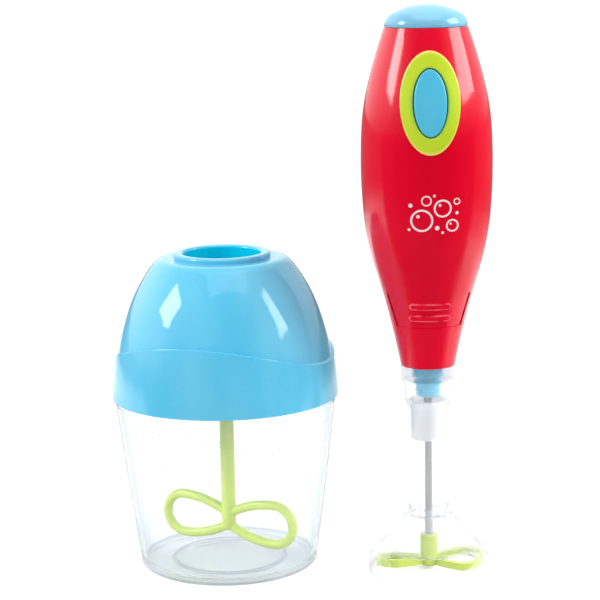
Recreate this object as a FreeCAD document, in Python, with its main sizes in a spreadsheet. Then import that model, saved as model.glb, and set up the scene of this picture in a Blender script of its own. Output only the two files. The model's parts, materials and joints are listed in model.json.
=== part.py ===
import FreeCAD, Part
import math
import os
import Sketcher

# A toy stick blender that stands on its clear wand, beside a clear jar with a domed lid and a
# hanging stirrer.  Millimetres.  The origin is the centre of the jar's foot, on the table, with
# +Z up; the blender's own axis stands to the right of the jar and its switch faces -Y.

# ---------------------------------------------------------------- driving dimensions

SIZES = {
    # where the blender stands
    "wand_axis_x": 92.0,
    "wand_axis_y": -18.0,
    # fits, and how far in and out the cutters for the handle's wall reach
    "running_gap": 0.06,
    "loose_gap": 0.2,
    "screw_play": 0.15,
    "boss_relief": 0.1,
    "cutter_near": 10.0,
    "cutter_far": 34.0,
    "grip_near": 4.0,
    # jar
    "jar_foot_radius": 38.6,
    "jar_base_radius": 41.0,
    "jar_base_height": 2.4,
    "jar_side_bend": 2200.0,
    "jar_shoulder_radius": 50.6,
    "jar_shoulder_height": 77.6,
    "jar_neck_radius": 49.9,
    "jar_neck_height": 78.6,
    "jar_rim_height": 90.0,
    "jar_wall": 1.8,
    "jar_shoulder_extra": 0.2,
    "jar_neck_slope": 1.5,
    "jar_floor": 2.8,
    "jar_corner_bend": 2.4,
    "jar_inner_corner": 3.4,
    "jar_ring_radius": 26.0,
    "jar_ring_width": 1.6,
    "jar_ring_depth": 1.2,
    # lid: skirt, dome and shoulder
    "skirt_bottom": 79.7,
    "skirt_radius": 52.0,
    "skirt_wall": 1.75,
    "skirt_seat": 90.3,
    "band_top": 111.0,
    "band_top_radius": 48.0,
    "band_bend": 150.0,
    "band_root": 1.2,
    "band_top_root": 45.0,
    "wave_crest": 109.9,
    "wave_bend": 108.0,
    "wave_turn": 17.7,
    "dome_wall": 2.0,
    "dome_low_radius": 50.0,
    "dome_low": 94.0,
    "dome_low_bend": 150.0,
    "dome_mid_radius": 43.7,
    "dome_mid": 118.5,
    "dome_mid_bend": 75.6,
    "dome_high_radius": 31.4,
    "dome_high": 140.8,
    "dome_shoulder_bend": 6.6,
    "dome_top_radius": 26.0,
    "dome_top": 143.1,
    "inner_mid_radius": 41.8,
    "inner_mid": 117.8,
    "inner_high_radius": 30.1,
    "inner_high": 139.0,
    "inner_top": 141.0,
    # lid: dock for the handle
    "dock_radius": 22.0,
    "dock_bore": 17.7,
    "dock_top": 145.6,
    "dock_lip": 1.3,
    "dock_floor_top": 121.4,
    "dock_floor": 2.0,
    "nose_well_bore": 9.5,
    "nose_well_bottom": 113.6,
    "well_wall": 1.4,
    "drive_bore": 6.45,
    "drive_tube_radius": 8.0,
    "drive_tube_bottom": 84.0,
    "drive_tube_seat": 86.2,
    # stirrer
    "stem_radius": 3.35,
    "stem_top": 94.0,
    "stem_bottom": 14.2,
    "stem_tip": 1.6,
    "stirrer_turn": 28.0,
    "loop_height": 19.3,
    "loop_end_radius": 9.3,
    "loop_end_centre": 24.1,
    "loop_root": 1.5,
    "loop_root_rise": 3.3,
    "loop_strand_bend": 45.6,
    "strand_radius": 2.2,
    "coupling_radius": 6.2,
    "stirrer_coupling_top": 103.7,
    "stirrer_coupling_bottom": 86.5,
    "clip_top": 83.7,
    "clip_thickness": 1.2,
    "clip_radius": 6.0,
    # couplings: hexagonal socket and tip
    "coupling_chamfer": 0.6,
    "socket_depth": 7.2,
    "socket_hexagon": 2.15,
    "tip_hexagon": 1.95,
    # wand tube
    "collar_top": 95.5,
    "collar_radius": 12.2,
    "collar_bore": 10.7,
    "collar_bottom": 88.0,
    "collar_step": 0.9,
    "collar_chamfer": 0.5,
    "collar_floor": 1.2,
    "collar_floor_bore": 5.9,
    "funnel_bottom": 79.4,
    "funnel_radius": 10.5,
    "funnel_bore": 9.1,
    "ledge": 76.2,
    "tube_top": 75.4,
    "tube_radius": 9.1,
    "tube_bore": 7.75,
    "tube_foot": 29.0,
    "tube_foot_radius": 9.4,
    "spigot_radius": 7.9,
    "spigot_bore": 6.5,
    "spigot_bore_top": 30.4,
    "spigot_bore_slope": 1.2,
    "tube_floor_low": 25.2,
    "tube_floor_top": 27.0,
    "sleeve_radius": 3.9,
    "sleeve_bottom": 16.5,
    # bell guard
    "bell_lip_radius": 27.8,
    "bell_lip": 4.4,
    "bell_lip_bend": 7.0,
    "bell_flank_radius": 25.9,
    "bell_flank": 9.2,
    "bell_throat_radius": 16.0,
    "bell_throat": 19.6,
    "bell_throat_bend": 38.9,
    "bell_wall": 1.5,
    "bell_inner_flank_radius": 24.8,
    "bell_inner_flank": 8.2,
    "bell_inner_throat_radius": 14.9,
    "bell_inner_throat": 18.6,
    "bell_seat": 25.8,
    "bell_seat_radius": 9.7,
    "bell_slot_half_width": 19.2,
    "bell_slot_low": 5.4,
    "bell_slot_high": 11.2,
    # coupling bush in the wand
    "bush_bottom": 61.6,
    "bush_floor_top": 63.2,
    "bush_radius": 7.65,
    "bush_flange_radius": 9.0,
    "bush_lead_in": 0.9,
    # driven coupling, shaft and blade
    "wand_coupling_top": 78.0,
    "wand_coupling_bottom": 63.5,
    "ferrule_radius": 2.05,
    "ferrule_top": 70.4,
    "ferrule_round": 1.2,
    "shaft_radius": 1.65,
    "shaft_top": 69.0,
    "shaft_bottom": 7.5,
    "hub_radius": 4.0,
    "hub_top": 16.1,
    "hub_bottom": 1.3,
    "hub_chamfer": 0.8,
    "hub_top_chamfer": 0.5,
    "hub_wall": 1.0,
    "blade_reach": 24.2,
    "blade_end_radius": 9.4,
    "blade_strand": 1.9,
    "blade_root": 2.2,
    "blade_bend": 40.0,
    "blade_low": 1.9,
    "blade_high": 5.5,
    "blade_pitch": 7.0,
    # handle shells: joints of the tangent arcs, top to bottom
    "shell_wall": 2.0,
    "shell_top_radius": 18.34,
    "shell_top": 246.2,
    "shell_upper_bend": 240.6,
    "shell_shoulder_radius": 26.26,
    "shell_shoulder": 218.9,
    "shell_shoulder_bend": 103.5,
    "shell_belly_radius": 28.63,
    "shell_belly": 202.1,
    "shell_belly_bend": 257.3,
    "shell_hip_radius": 28.22,
    "shell_hip": 166.1,
    "shell_hip_bend": 129.2,
    "shell_flank_radius": 22.88,
    "shell_flank": 138.4,
    "shell_neck_bend": 405.7,
    "shell_neck_radius": 12.17,
    "shell_neck": 95.7,
    "seam_width": 0.35,
    "seam_depth": 0.35,
    # top cap
    "cap_radius": 18.1,
    "cap_seam": 246.45,
    "cap_edge": 247.4,
    "cap_edge_bend": 6.1,
    "cap_shoulder_radius": 14.9,
    "cap_shoulder": 252.3,
    "cap_crown": 256.0,
    "cap_plug_radius": 16.2,
    "cap_plug": 242.3,
    "cap_wall": 1.9,
    # switch
    "switch_height": 215.0,
    "bezel_half_width": 13.0,
    "bezel_half_height": 22.0,
    "bezel_proud": 0.9,
    "bezel_depth": 2.6,
    "bezel_flange": 1.4,
    "bezel_flange_depth": 3.4,
    "bezel_round": 0.6,
    "button_half_width": 7.1,
    "button_half_height": 14.3,
    "button_round": 1.0,
    "button_gap": 0.4,
    "button_proud": 1.1,
    "button_back": 19.6,
    "button_stem_radius": 1.9,
    "button_barb_radius": 2.5,
    "button_stem_end": 9.0,
    "carrier_front": 13.0,
    "carrier_back": 11.4,
    "carrier_half_width": 8.0,
    "carrier_half_height": 15.0,
    "spring_radius": 3.0,
    "spring_wire": 0.35,
    "spring_pitch": 1.9,
    "leaf_half_width": 2.2,
    "leaf_thickness": 0.35,
    "moving_leaf_front": 8.8,
    "fixed_leaf_front": 6.6,
    # grip panel
    "grip_top": 129.8,
    "grip_bottom": 115.0,
    "grip_top_half_width": 18.6,
    "grip_bottom_half_width": 14.2,
    "grip_depth": 0.5,
    "rib_half_width": 8.9,
    "rib_tall": 2.5,
    "rib_proud": 0.35,
    "upper_rib": 125.1,
    "lower_rib": 119.7,
    # coupling nose and spindle
    "nose_plug_radius": 10.1,
    "nose_plug_top": 101.0,
    "nose_flange_radius": 7.0,
    "nose_flange_low": 90.2,
    "nose_radius": 5.4,
    "nose_bottom": 81.2,
    "nose_chamfer": 0.5,
    "nose_ridge": 0.4,
    "nose_ridge_slope": 0.3,
    "nose_ridge_low": 83.3,
    "nose_ridge_tall": 1.1,
    "nose_band_low": 86.4,
    "nose_band_tall": 2.4,
    "nose_chamber": 4.2,
    "nose_bearing_top": 86.0,
    "spindle_radius": 1.9,
    "spindle_bottom": 71.2,
    "tip_top": 80.6,
    "spindle_top": 131.6,
    # gear train
    "gear_module": 0.5,
    "gear_clearance": 0.06,
    "gear_low": 121.0,
    "gear_width": 4.0,
    "gear_hub_radius": 3.4,
    "gear_hub_top": 127.6,
    "pinion_low": 120.4,
    "pinion_width": 6.0,
    # motor
    "motor_radius": 10.05,
    "motor_half_depth": 7.55,
    "motor_low": 132.3,
    "motor_can_top": 154.3,
    "motor_top": 157.3,
    "motor_nose_radius": 3.05,
    "motor_nose": 1.6,
    "motor_shaft_radius": 1.0,
    "motor_shaft_low": 119.6,
    "motor_shaft_high": 158.6,
    "tab_width": 1.8,
    "tab_thickness": 0.5,
    "tab_top": 161.0,
    "tab_x": 6.0,
    # gearbox
    "plate_low": 130.2,
    "plate_high": 132.2,
    "plate_radius": 16.4,
    "cover_low": 113.4,
    "cover_high": 115.4,
    "cover_radius": 12.9,
    "pillar_radius": 1.8,
    "pillar_x": 10.6,
    "pillar_y": 2.6,
    "gearbox_screw_radius": 1.0,
    "gearbox_screw_length": 5.0,
    "gearbox_screw_head": 1.2,
    # cells and their tray
    "cell_radius": 7.2,
    "cell_low": 167.0,
    "cell_high": 216.2,
    "cell_nub_radius": 2.7,
    "cell_nub": 1.3,
    "cell_x": 7.45,
    "cell_y": 12.7,
    "tray_half_width": 16.9,
    "tray_front": 3.6,
    "tray_back": 16.0,
    "tray_low": 163.0,
    "tray_high": 221.2,
    "tray_wall": 1.5,
    "contact_thickness": 0.5,
    "contact_half_width": 13.6,
    "contact_margin": 1.0,
    # battery door
    "door_half_width": 16.5,
    "door_low": 156.4,
    "door_high": 224.4,
    "door_corner": 3.0,
    "door_gap": 0.25,
    "door_screw_height": 160.0,
    "door_boss_radius": 2.6,
    "door_boss_front": 12.0,
    "door_boss_back": 22.4,
    "door_boss_floor": 1.5,
    "door_cup_wall": 0.9,
    "door_cup_back": 26.2,
    # screws
    "screw_radius": 1.25,
    "screw_head_radius": 2.4,
    "screw_head": 1.8,
    "screw_slot": 0.7,
    "screw_slot_reach": 1.7,
    "boss_radius": 3.3,
    "upper_boss_x": 12.0,
    "upper_boss_height": 236.0,
    "upper_boss_length": 14.4,
    "lower_boss_x": 6.8,
    "lower_boss_height": 107.6,
    "lower_boss_length": 9.6,
    "screw_tip": 7.0,
    "screw_seat": 5.0,
}


class Size:
    """A length of the sheet, or a sum of such lengths, as a number and as the sheet's expression."""

    def __init__(self, number, text):
        self.number = number
        self.text = text

    def joined(self, other, sign, number):
        return Size(number, "(" + self.text + " " + sign + " " + text_of(other) + ")")

    def __add__(self, other):
        return self.joined(other, "+", self.number + number_of(other))

    def __sub__(self, other):
        return self.joined(other, "-", self.number - number_of(other))

    def __mul__(self, other):
        return self.joined(other, "*", self.number * number_of(other))

    def __truediv__(self, other):
        return self.joined(other, "/", self.number / number_of(other))

    def __neg__(self):
        return Size(-self.number, "(-" + self.text + ")")

    def __radd__(self, other):
        return self + other

    def __rsub__(self, other):
        return -self + other


def number_of(size):
    return size.number if isinstance(size, Size) else size


def text_of(size):
    return size.text if isinstance(size, Size) else str(size)


NOTHING = Size(0.0, "0")


class Cells:
    """Every cell of the sheet, as an attribute with the cell's own name."""

    def __init__(self, sizes):
        for name, number in sizes.items():
            setattr(self, name, Size(number, "dims." + name))


doc = FreeCAD.newDocument("ToyBlender")
sheet = doc.addObject("Spreadsheet::Sheet", "dims")
for row, (name, number) in enumerate(SIZES.items(), start=1):
    sheet.set("A%d" % row, name.replace("_", " "))
    sheet.set("B%d" % row, str(number))
    sheet.setAlias("B%d" % row, name)
doc.recompute()
d = Cells(SIZES)
nodes = []
UPRIGHT = FreeCAD.Vector(0, 0, 1)
HALF_TURN = FreeCAD.Rotation(UPRIGHT, 180)


# ---------------------------------------------------------------- sketching helpers

def point(x, y):
    return FreeCAD.Vector(number_of(x), number_of(y), 0)


def bind(thing, path, size):
    """Tie one property or constraint of a document object to the sheet."""
    thing.setExpression(path, text_of(size))


def hold(sketch, kind, elements, size):
    """Add a dimension to a sketch and bind it."""
    index = sketch.addConstraint(Sketcher.Constraint(kind, *elements, number_of(size)))
    bind(sketch, "Constraints[%d]" % index, size)


def pin(sketch, geometry, vertex, x, y):
    """Dimension one vertex from the sketch's origin, or lay it on an axis."""
    for kind, size, axis in (("DistanceX", x, -2), ("DistanceY", y, -1)):
        if isinstance(size, Size):
            hold(sketch, kind, (-1, 1, geometry, vertex), size)
        elif size == 0:
            sketch.addConstraint(Sketcher.Constraint("PointOnObject", geometry, vertex, axis))
        else:
            hold(sketch, kind, (-1, 1, geometry, vertex), size)


def arc_through(start, end, bend, side):
    """The arc from start to end whose centre is on the left (side 1) or the right (side -1)."""
    chord = end - start
    half = chord.Length / 2
    rise = bend - math.sqrt(bend * bend - half * half)
    outward = FreeCAD.Vector(chord.y, -chord.x, 0).normalize()
    middle = (start + end) * 0.5 + outward * (rise * side)
    if side > 0:
        return Part.ArcOfCircle(start, middle, end)
    return Part.ArcOfCircle(end, middle, start)


def draw(sketch, outline, closed=True):
    """Draw an outline of (x, y) corners; (x, y, bend, side) makes the edge that arrives there an arc."""
    count = len(outline)
    edges = []
    for index in range(count if closed else count - 1):
        here = outline[index]
        there = outline[(index + 1) % count]
        start = point(here[0], here[1])
        end = point(there[0], there[1])
        if len(there) == 2:
            edge = sketch.addGeometry(Part.LineSegment(start, end))
            edges.append((edge, 1, 2))
            pin(sketch, edge, 1, here[0], here[1])
            continue
        bend, side = there[2], there[3]
        edge = sketch.addGeometry(arc_through(start, end, number_of(bend), side))
        ends = (1, 2) if side > 0 else (2, 1)
        edges.append((edge, ends[0], ends[1]))
        pin(sketch, edge, ends[0], here[0], here[1])
        hold(sketch, "Radius", (edge,), bend)
    for index, (edge, first, last) in enumerate(edges):
        if closed or index + 1 < len(edges):
            following = edges[(index + 1) % len(edges)]
            sketch.addConstraint(Sketcher.Constraint("Coincident", edge, last, following[0], following[1]))
    if not closed:
        edge, first, last = edges[-1]
        pin(sketch, edge, last, outline[-1][0], outline[-1][1])


def draw_circle(sketch, x, y, radius):
    circle = Part.Circle(point(x, y), UPRIGHT, number_of(radius))
    edge = sketch.addGeometry(circle)
    pin(sketch, edge, 3, x, y)
    hold(sketch, "Radius", (edge,), radius)


def draw_ellipse(sketch, y, half_width, half_height):
    """An upright ellipse centred on the sketch's vertical axis."""
    top = point(0, y + half_height)
    side = point(half_width, y)
    edge = sketch.addGeometry(Part.Ellipse(top, side, point(0, y)))
    sketch.exposeInternalGeometry(edge)
    major, minor = edge + 1, edge + 2
    pin(sketch, edge, 3, 0, y)
    hold(sketch, "Distance", (major,), half_height * 2)
    hold(sketch, "Distance", (minor,), half_width * 2)
    sketch.addConstraint(Sketcher.Constraint("Vertical", major))


def rectangle(left, right, low, high):
    return [(left, low), (right, low), (right, high), (left, high)]


def stadium(half_width, low, high):
    """A level slot outline with round ends."""
    radius = (high - low) / 2
    middle = (high + low) / 2
    straight = half_width - radius
    return [
        (straight, low),
        (half_width, middle, radius, 1),
        (straight, high, radius, 1),
        (-straight, high),
        (-half_width, middle, radius, 1),
        (-straight, low, radius, 1),
    ]


def rounded_rectangle(half_width, low, high, corner):
    inner = half_width - corner
    return [
        (inner, low),
        (half_width, low + corner, corner, 1),
        (half_width, high - corner),
        (inner, high, corner, 1),
        (-inner, high),
        (-half_width, high - corner, corner, 1),
        (-half_width, low + corner),
        (-inner, low, corner, 1),
    ]


# ---------------------------------------------------------------- feature helpers

def new_body(name):
    body = doc.addObject("PartDesign::Body", name)
    body.Label = name
    return body


def new_sketch(body, name, role="XZ_Plane", lift=None):
    """A sketch on one of the body's own origin planes, lifted along the plane's normal."""
    plane = next(f for f in body.Origin.OriginFeatures if f.Role == role)
    sketch = body.newObject("Sketcher::SketchObject", name)
    sketch.AttachmentSupport = (plane, "")
    sketch.MapMode = "FlatFace"
    if lift is not None:
        bind(sketch, "AttachmentOffset.Base.z", lift)
    return sketch


def pad(body, name, sketch, length):
    feature = body.newObject("PartDesign::Pad", name)
    feature.Profile = sketch
    bind(feature, "Length", length)
    return feature


def pocket(body, name, sketch, length, upwards=False, both_ways=False):
    feature = body.newObject("PartDesign::Pocket", name)
    feature.Profile = sketch
    feature.Reversed = upwards
    feature.Midplane = both_ways
    bind(feature, "Length", length)
    return feature


def turned(name, outline, degrees=360, forwards=False):
    """A body made by turning an outline of (radius, height) about the upright axis.

    A half turn fills the rear half, or with forwards the front half.
    """
    body = new_body(name)
    sketch = new_sketch(body, name + "_profile")
    draw(sketch, outline)
    feature = body.newObject("PartDesign::Revolution", name + "_turned")
    feature.Profile = sketch
    feature.ReferenceAxis = (sketch, ["V_Axis"])
    feature.Angle = degrees
    feature.Reversed = forwards
    return body


def across(name, outlines, front, back):
    """A prism along Y between two depths, front < back, from closed outlines of (x, z)."""
    body = new_body(name)
    sketch = new_sketch(body, name + "_outline", lift=-back)
    for outline in outlines:
        draw(sketch, outline)
    pad(body, name + "_prism", sketch, back - front)
    return body


def oval_across(name, height, half_width, half_height, front, back):
    """An elliptical prism along Y between two depths."""
    body = new_body(name)
    sketch = new_sketch(body, name + "_outline", lift=-back)
    draw_ellipse(sketch, height, half_width, half_height)
    pad(body, name + "_prism", sketch, back - front)
    return body


def upright(name, draw_outline, low, high):
    """A prism along Z between two heights; draw_outline fills the sketch."""
    body = new_body(name)
    sketch = new_sketch(body, name + "_outline", "XY_Plane", low)
    draw_outline(sketch)
    pad(body, name + "_prism", sketch, high - low)
    return body


def rod_along_y(name, x, height, radius, front, back):
    body = new_body(name)
    sketch = new_sketch(body, name + "_outline", lift=-back)
    draw_circle(sketch, x, height, radius)
    pad(body, name + "_prism", sketch, back - front)
    return body


def boolean(kind, name, base, tool):
    result = doc.addObject("Part::" + kind, name)
    result.Base = base
    result.Tool = tool
    return result


def cut(name, base, tool):
    return boolean("Cut", name, base, tool)


def common(name, base, tool):
    return boolean("Common", name, base, tool)


def fused(name, *shapes):
    result = doc.addObject("Part::MultiFuse", name)
    result.Shapes = list(shapes)
    return result


def grouped(name, *shapes):
    result = doc.addObject("Part::Compound", name)
    result.Links = list(shapes)
    return result


def node(name, thing, on_wand=True):
    """Name a finished sub-part, and stand it on the blender's axis unless it belongs to the jar."""
    thing.Label = name
    if on_wand:
        bind(thing, "Placement.Base.x", d.wand_axis_x)
        bind(thing, "Placement.Base.y", d.wand_axis_y)
    nodes.append(thing)
    return thing


# ---------------------------------------------------------------- jar

def make_jar():
    """One clear moulding: tapered wall, thick foot with a ring groove under it, and a plain neck."""
    inner_base = d.jar_base_radius - d.jar_wall
    inner_shoulder = d.jar_shoulder_radius - d.jar_wall - d.jar_shoulder_extra
    inner_neck = d.jar_neck_radius - d.jar_wall
    ring_inside = d.jar_ring_radius - d.jar_ring_width
    half_wall = d.jar_wall / 2
    body = turned("jar", [
        (0, 0),
        (ring_inside, 0),
        (ring_inside, d.jar_ring_depth),
        (d.jar_ring_radius, d.jar_ring_depth),
        (d.jar_ring_radius, 0),
        (d.jar_foot_radius, 0),
        (d.jar_base_radius, d.jar_base_height, d.jar_corner_bend, 1),
        (d.jar_shoulder_radius, d.jar_shoulder_height, d.jar_side_bend, 1),
        (d.jar_neck_radius, d.jar_neck_height),
        (d.jar_neck_radius, d.jar_rim_height - half_wall),
        (inner_neck, d.jar_rim_height - half_wall, half_wall, 1),
        (inner_neck, d.jar_neck_height),
        (inner_shoulder, d.jar_shoulder_height - d.jar_neck_slope),
        (inner_base, d.jar_floor + d.jar_inner_corner, d.jar_side_bend, -1),
        (inner_base - d.jar_inner_corner, d.jar_floor, d.jar_inner_corner, -1),
        (0, d.jar_floor),
    ])
    return node("jar", body, on_wand=False)


# ---------------------------------------------------------------- lid and stirrer

def make_lid():
    """Domed lid: plain skirt, wavy band round it, and a dock with a well and a drive tube on top."""
    skirt_inside = d.skirt_radius - d.skirt_wall
    lip_outside = d.dock_radius - d.dock_lip
    lip_inside = d.dock_bore + d.dock_lip
    dock_outside = d.dock_bore + d.dome_wall
    well_outside = d.nose_well_bore + d.well_wall
    dock_underside = d.dock_floor_top - d.dock_floor
    shell = turned("lid_shell", [
        (skirt_inside, d.skirt_bottom),
        (d.skirt_radius, d.skirt_bottom),
        (d.dome_low_radius, d.dome_low),
        (d.dome_mid_radius, d.dome_mid, d.dome_low_bend, 1),
        (d.dome_high_radius, d.dome_high, d.dome_mid_bend, 1),
        (d.dome_top_radius, d.dome_top, d.dome_shoulder_bend, 1),
        (d.dock_radius, d.dome_top),
        (d.dock_radius, d.dock_top - d.dock_lip),
        (lip_outside, d.dock_top, d.dock_lip, 1),
        (lip_inside, d.dock_top),
        (d.dock_bore, d.dock_top - d.dock_lip, d.dock_lip, 1),
        (d.dock_bore, d.dock_floor_top),
        (d.nose_well_bore, d.dock_floor_top),
        (d.nose_well_bore, d.nose_well_bottom),
        (d.drive_bore, d.nose_well_bottom),
        (d.drive_bore, d.drive_tube_seat),
        (d.stem_radius + d.running_gap, d.drive_tube_seat),
        (d.stem_radius + d.running_gap, d.drive_tube_bottom),
        (d.drive_tube_radius, d.drive_tube_bottom),
        (d.drive_tube_radius, d.nose_well_bottom - d.well_wall),
        (well_outside, d.nose_well_bottom - d.well_wall),
        (well_outside, dock_underside),
        (dock_outside, dock_underside),
        (dock_outside, d.inner_top),
        (d.dome_top_radius, d.inner_top),
        (d.inner_high_radius, d.inner_high, d.dome_shoulder_bend, -1),
        (d.inner_mid_radius, d.inner_mid, d.dome_mid_bend, -1),
        (d.dome_low_radius - d.dome_wall, d.skirt_seat, d.dome_low_bend, -1),
        (skirt_inside, d.skirt_seat),
    ])
    band = turned("lid_band_ring", [
        (d.skirt_radius - d.band_root, d.skirt_bottom),
        (d.skirt_radius, d.skirt_bottom),
        (d.band_top_radius, d.band_top, d.band_bend, 1),
        (d.band_top_root, d.band_top),
        (d.dome_low_radius - d.band_root, d.dome_low),
        (d.skirt_radius - d.band_root, d.skirt_seat),
    ])
    # The band's top edge is where it meets a big level drum, which leaves two crests and two troughs.
    drum = doc.addObject("Part::Cylinder", "lid_wave_drum")
    bind(drum, "Radius", d.wave_bend)
    bind(drum, "Height", d.skirt_radius * 2.4)
    drum.Placement.Rotation = FreeCAD.Rotation(FreeCAD.Vector(1, 0, 0), 90)
    bind(drum, "Placement.Base.y", d.skirt_radius * 1.2)
    bind(drum, "Placement.Base.z", d.wave_crest - d.wave_bend)
    wave = common("lid_band_wave", band, drum)
    lid = fused("lid", shell, wave)
    lid.Placement.Rotation = FreeCAD.Rotation(UPRIGHT, -d.wave_turn.number)
    return node("lid", lid, on_wand=False)


def stirrer_loop(name, side):
    """The upper (side 1) or lower (side -1) half of a loop: round wire bent along two tangent arcs."""
    body = new_body(name)
    tip_reach = d.loop_end_centre + d.loop_end_radius
    spine = new_sketch(body, name + "_spine")
    draw(spine, [
        (tip_reach, d.loop_height),
        (d.loop_end_centre, d.loop_height + d.loop_end_radius * side, d.loop_end_radius, side),
        (d.loop_root, d.loop_height + d.loop_root_rise * side, d.loop_strand_bend, side),
    ], closed=False)
    section = new_sketch(body, name + "_section", "XY_Plane", d.loop_height)
    draw_circle(section, tip_reach, 0, d.strand_radius)
    pipe = body.newObject("PartDesign::AdditivePipe", name + "_pipe")
    pipe.Profile = section
    pipe.Spine = (spine, ["Edge1", "Edge2"])
    return body


def half_turned(name, thing):
    """A copy of a sub-part turned half round about the upright axis."""
    twin = doc.addObject("App::Link", name)
    twin.LinkedObject = thing
    twin.Placement.Rotation = HALF_TURN
    return twin


def make_stirrer():
    stem = turned("stirrer_stem", [
        (0, d.stem_bottom),
        (d.stem_radius - d.stem_tip, d.stem_bottom),
        (d.stem_radius, d.stem_bottom + d.stem_tip, d.stem_tip, 1),
        (d.stem_radius, d.stem_top),
        (0, d.stem_top),
    ])
    pair = fused("stirrer_loop", stirrer_loop("loop_upper", 1), stirrer_loop("loop_lower", -1))
    stirrer = fused("stirrer", stem, pair, half_turned("stirrer_loop_twin", pair))
    stirrer.Placement.Rotation = FreeCAD.Rotation(UPRIGHT, -d.stirrer_turn.number)
    return node("stirrer", stirrer, on_wand=False)


def draw_hexagon(sketch, radius):
    """A hexagon of the given corner radius about the sketch's origin."""
    flat = radius * math.sqrt(3) / 2
    half = radius / 2
    draw(sketch, [
        (radius, 0),
        (half, flat),
        (-half, flat),
        (-radius, 0),
        (-half, -flat),
        (half, -flat),
    ])


def coupling(name, top, bottom, bore, bore_top):
    """A driven coupling: hexagonal socket from above, round bore from below."""
    body = turned(name, [
        (0, bore_top),
        (bore, bore_top),
        (bore, bottom),
        (d.coupling_radius, bottom),
        (d.coupling_radius, top - d.coupling_chamfer),
        (d.coupling_radius - d.coupling_chamfer, top),
        (0, top),
    ])
    sketch = new_sketch(body, name + "_socket", "XY_Plane", top)
    draw_hexagon(sketch, d.socket_hexagon)
    pocket(body, name + "_socket_cut", sketch, d.socket_depth)
    return body


def make_stirrer_drive():
    driven = coupling("stirrer_coupling", d.stirrer_coupling_top, d.stirrer_coupling_bottom,
                      d.stem_radius, d.stem_top)
    node("stirrer_coupling", driven, on_wand=False)
    clip = turned("stirrer_clip", [
        (d.stem_radius, d.clip_top - d.clip_thickness),
        (d.clip_radius, d.clip_top - d.clip_thickness),
        (d.clip_radius, d.clip_top),
        (d.stem_radius, d.clip_top),
    ])
    node("stirrer_clip", clip, on_wand=False)


# ---------------------------------------------------------------- wand

def make_wand_tube():
    """Clear moulding from the top down: collar and its floor, funnel, tube, shaft sleeve, spigot.

    The flange of the handle's nose stands on the collar's floor, and the nose's ridges reach below it.
    """
    bore = d.shaft_radius + d.running_gap
    floor_top = d.nose_flange_low - d.running_gap
    floor_low = floor_top - d.collar_floor
    body = turned("wand_tube", [
        (bore, d.sleeve_bottom),
        (d.sleeve_radius, d.sleeve_bottom),
        (d.sleeve_radius, d.tube_floor_low),
        (d.spigot_radius, d.tube_floor_low),
        (d.spigot_radius, d.tube_foot),
        (d.tube_foot_radius, d.tube_foot),
        (d.tube_radius, d.tube_top),
        (d.funnel_radius, d.funnel_bottom),
        (d.collar_radius - d.collar_step, d.collar_bottom),
        (d.collar_radius, d.collar_bottom + d.collar_chamfer),
        (d.collar_radius, d.collar_top),
        (d.collar_bore, d.collar_top),
        (d.collar_bore, floor_top),
        (d.collar_floor_bore, floor_top),
        (d.collar_floor_bore, floor_low),
        (d.collar_bore, floor_low),
        (d.collar_bore, d.collar_bottom),
        (d.funnel_bore, d.funnel_bottom),
        (d.funnel_bore, d.ledge),
        (d.tube_bore, d.ledge),
        (d.tube_bore, d.spigot_bore_top + d.spigot_bore_slope),
        (d.spigot_bore, d.spigot_bore_top),
        (d.spigot_bore, d.tube_floor_top),
        (bore, d.tube_floor_top),
    ])
    return node("wand_tube", body)


def make_blade_guard():
    """Clear bell guard with a lip to stand on and a long slot window at the front and the back."""
    inside = d.bell_lip_radius - d.bell_wall
    seat = d.spigot_radius + d.running_gap
    body = turned("blade_guard", [
        (inside, 0),
        (d.bell_lip_radius, 0),
        (d.bell_lip_radius, d.bell_lip),
        (d.bell_flank_radius, d.bell_flank, d.bell_lip_bend, 1),
        (d.bell_throat_radius, d.bell_throat),
        (d.tube_foot_radius, d.tube_foot, d.bell_throat_bend, -1),
        (seat, d.tube_foot),
        (seat, d.bell_seat),
        (d.bell_seat_radius, d.bell_seat),
        (d.bell_inner_throat_radius, d.bell_inner_throat, d.bell_throat_bend + d.bell_wall, 1),
        (d.bell_inner_flank_radius, d.bell_inner_flank),
        (inside, d.bell_lip, d.bell_lip_bend - d.bell_wall, -1),
    ])
    windows = new_sketch(body, "guard_windows")
    draw(windows, stadium(d.bell_slot_half_width, d.bell_slot_low, d.bell_slot_high))
    pocket(body, "guard_windows_cut", windows, d.bell_lip_radius * 2.2, both_ways=True)
    return node("blade_guard", body)


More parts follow.
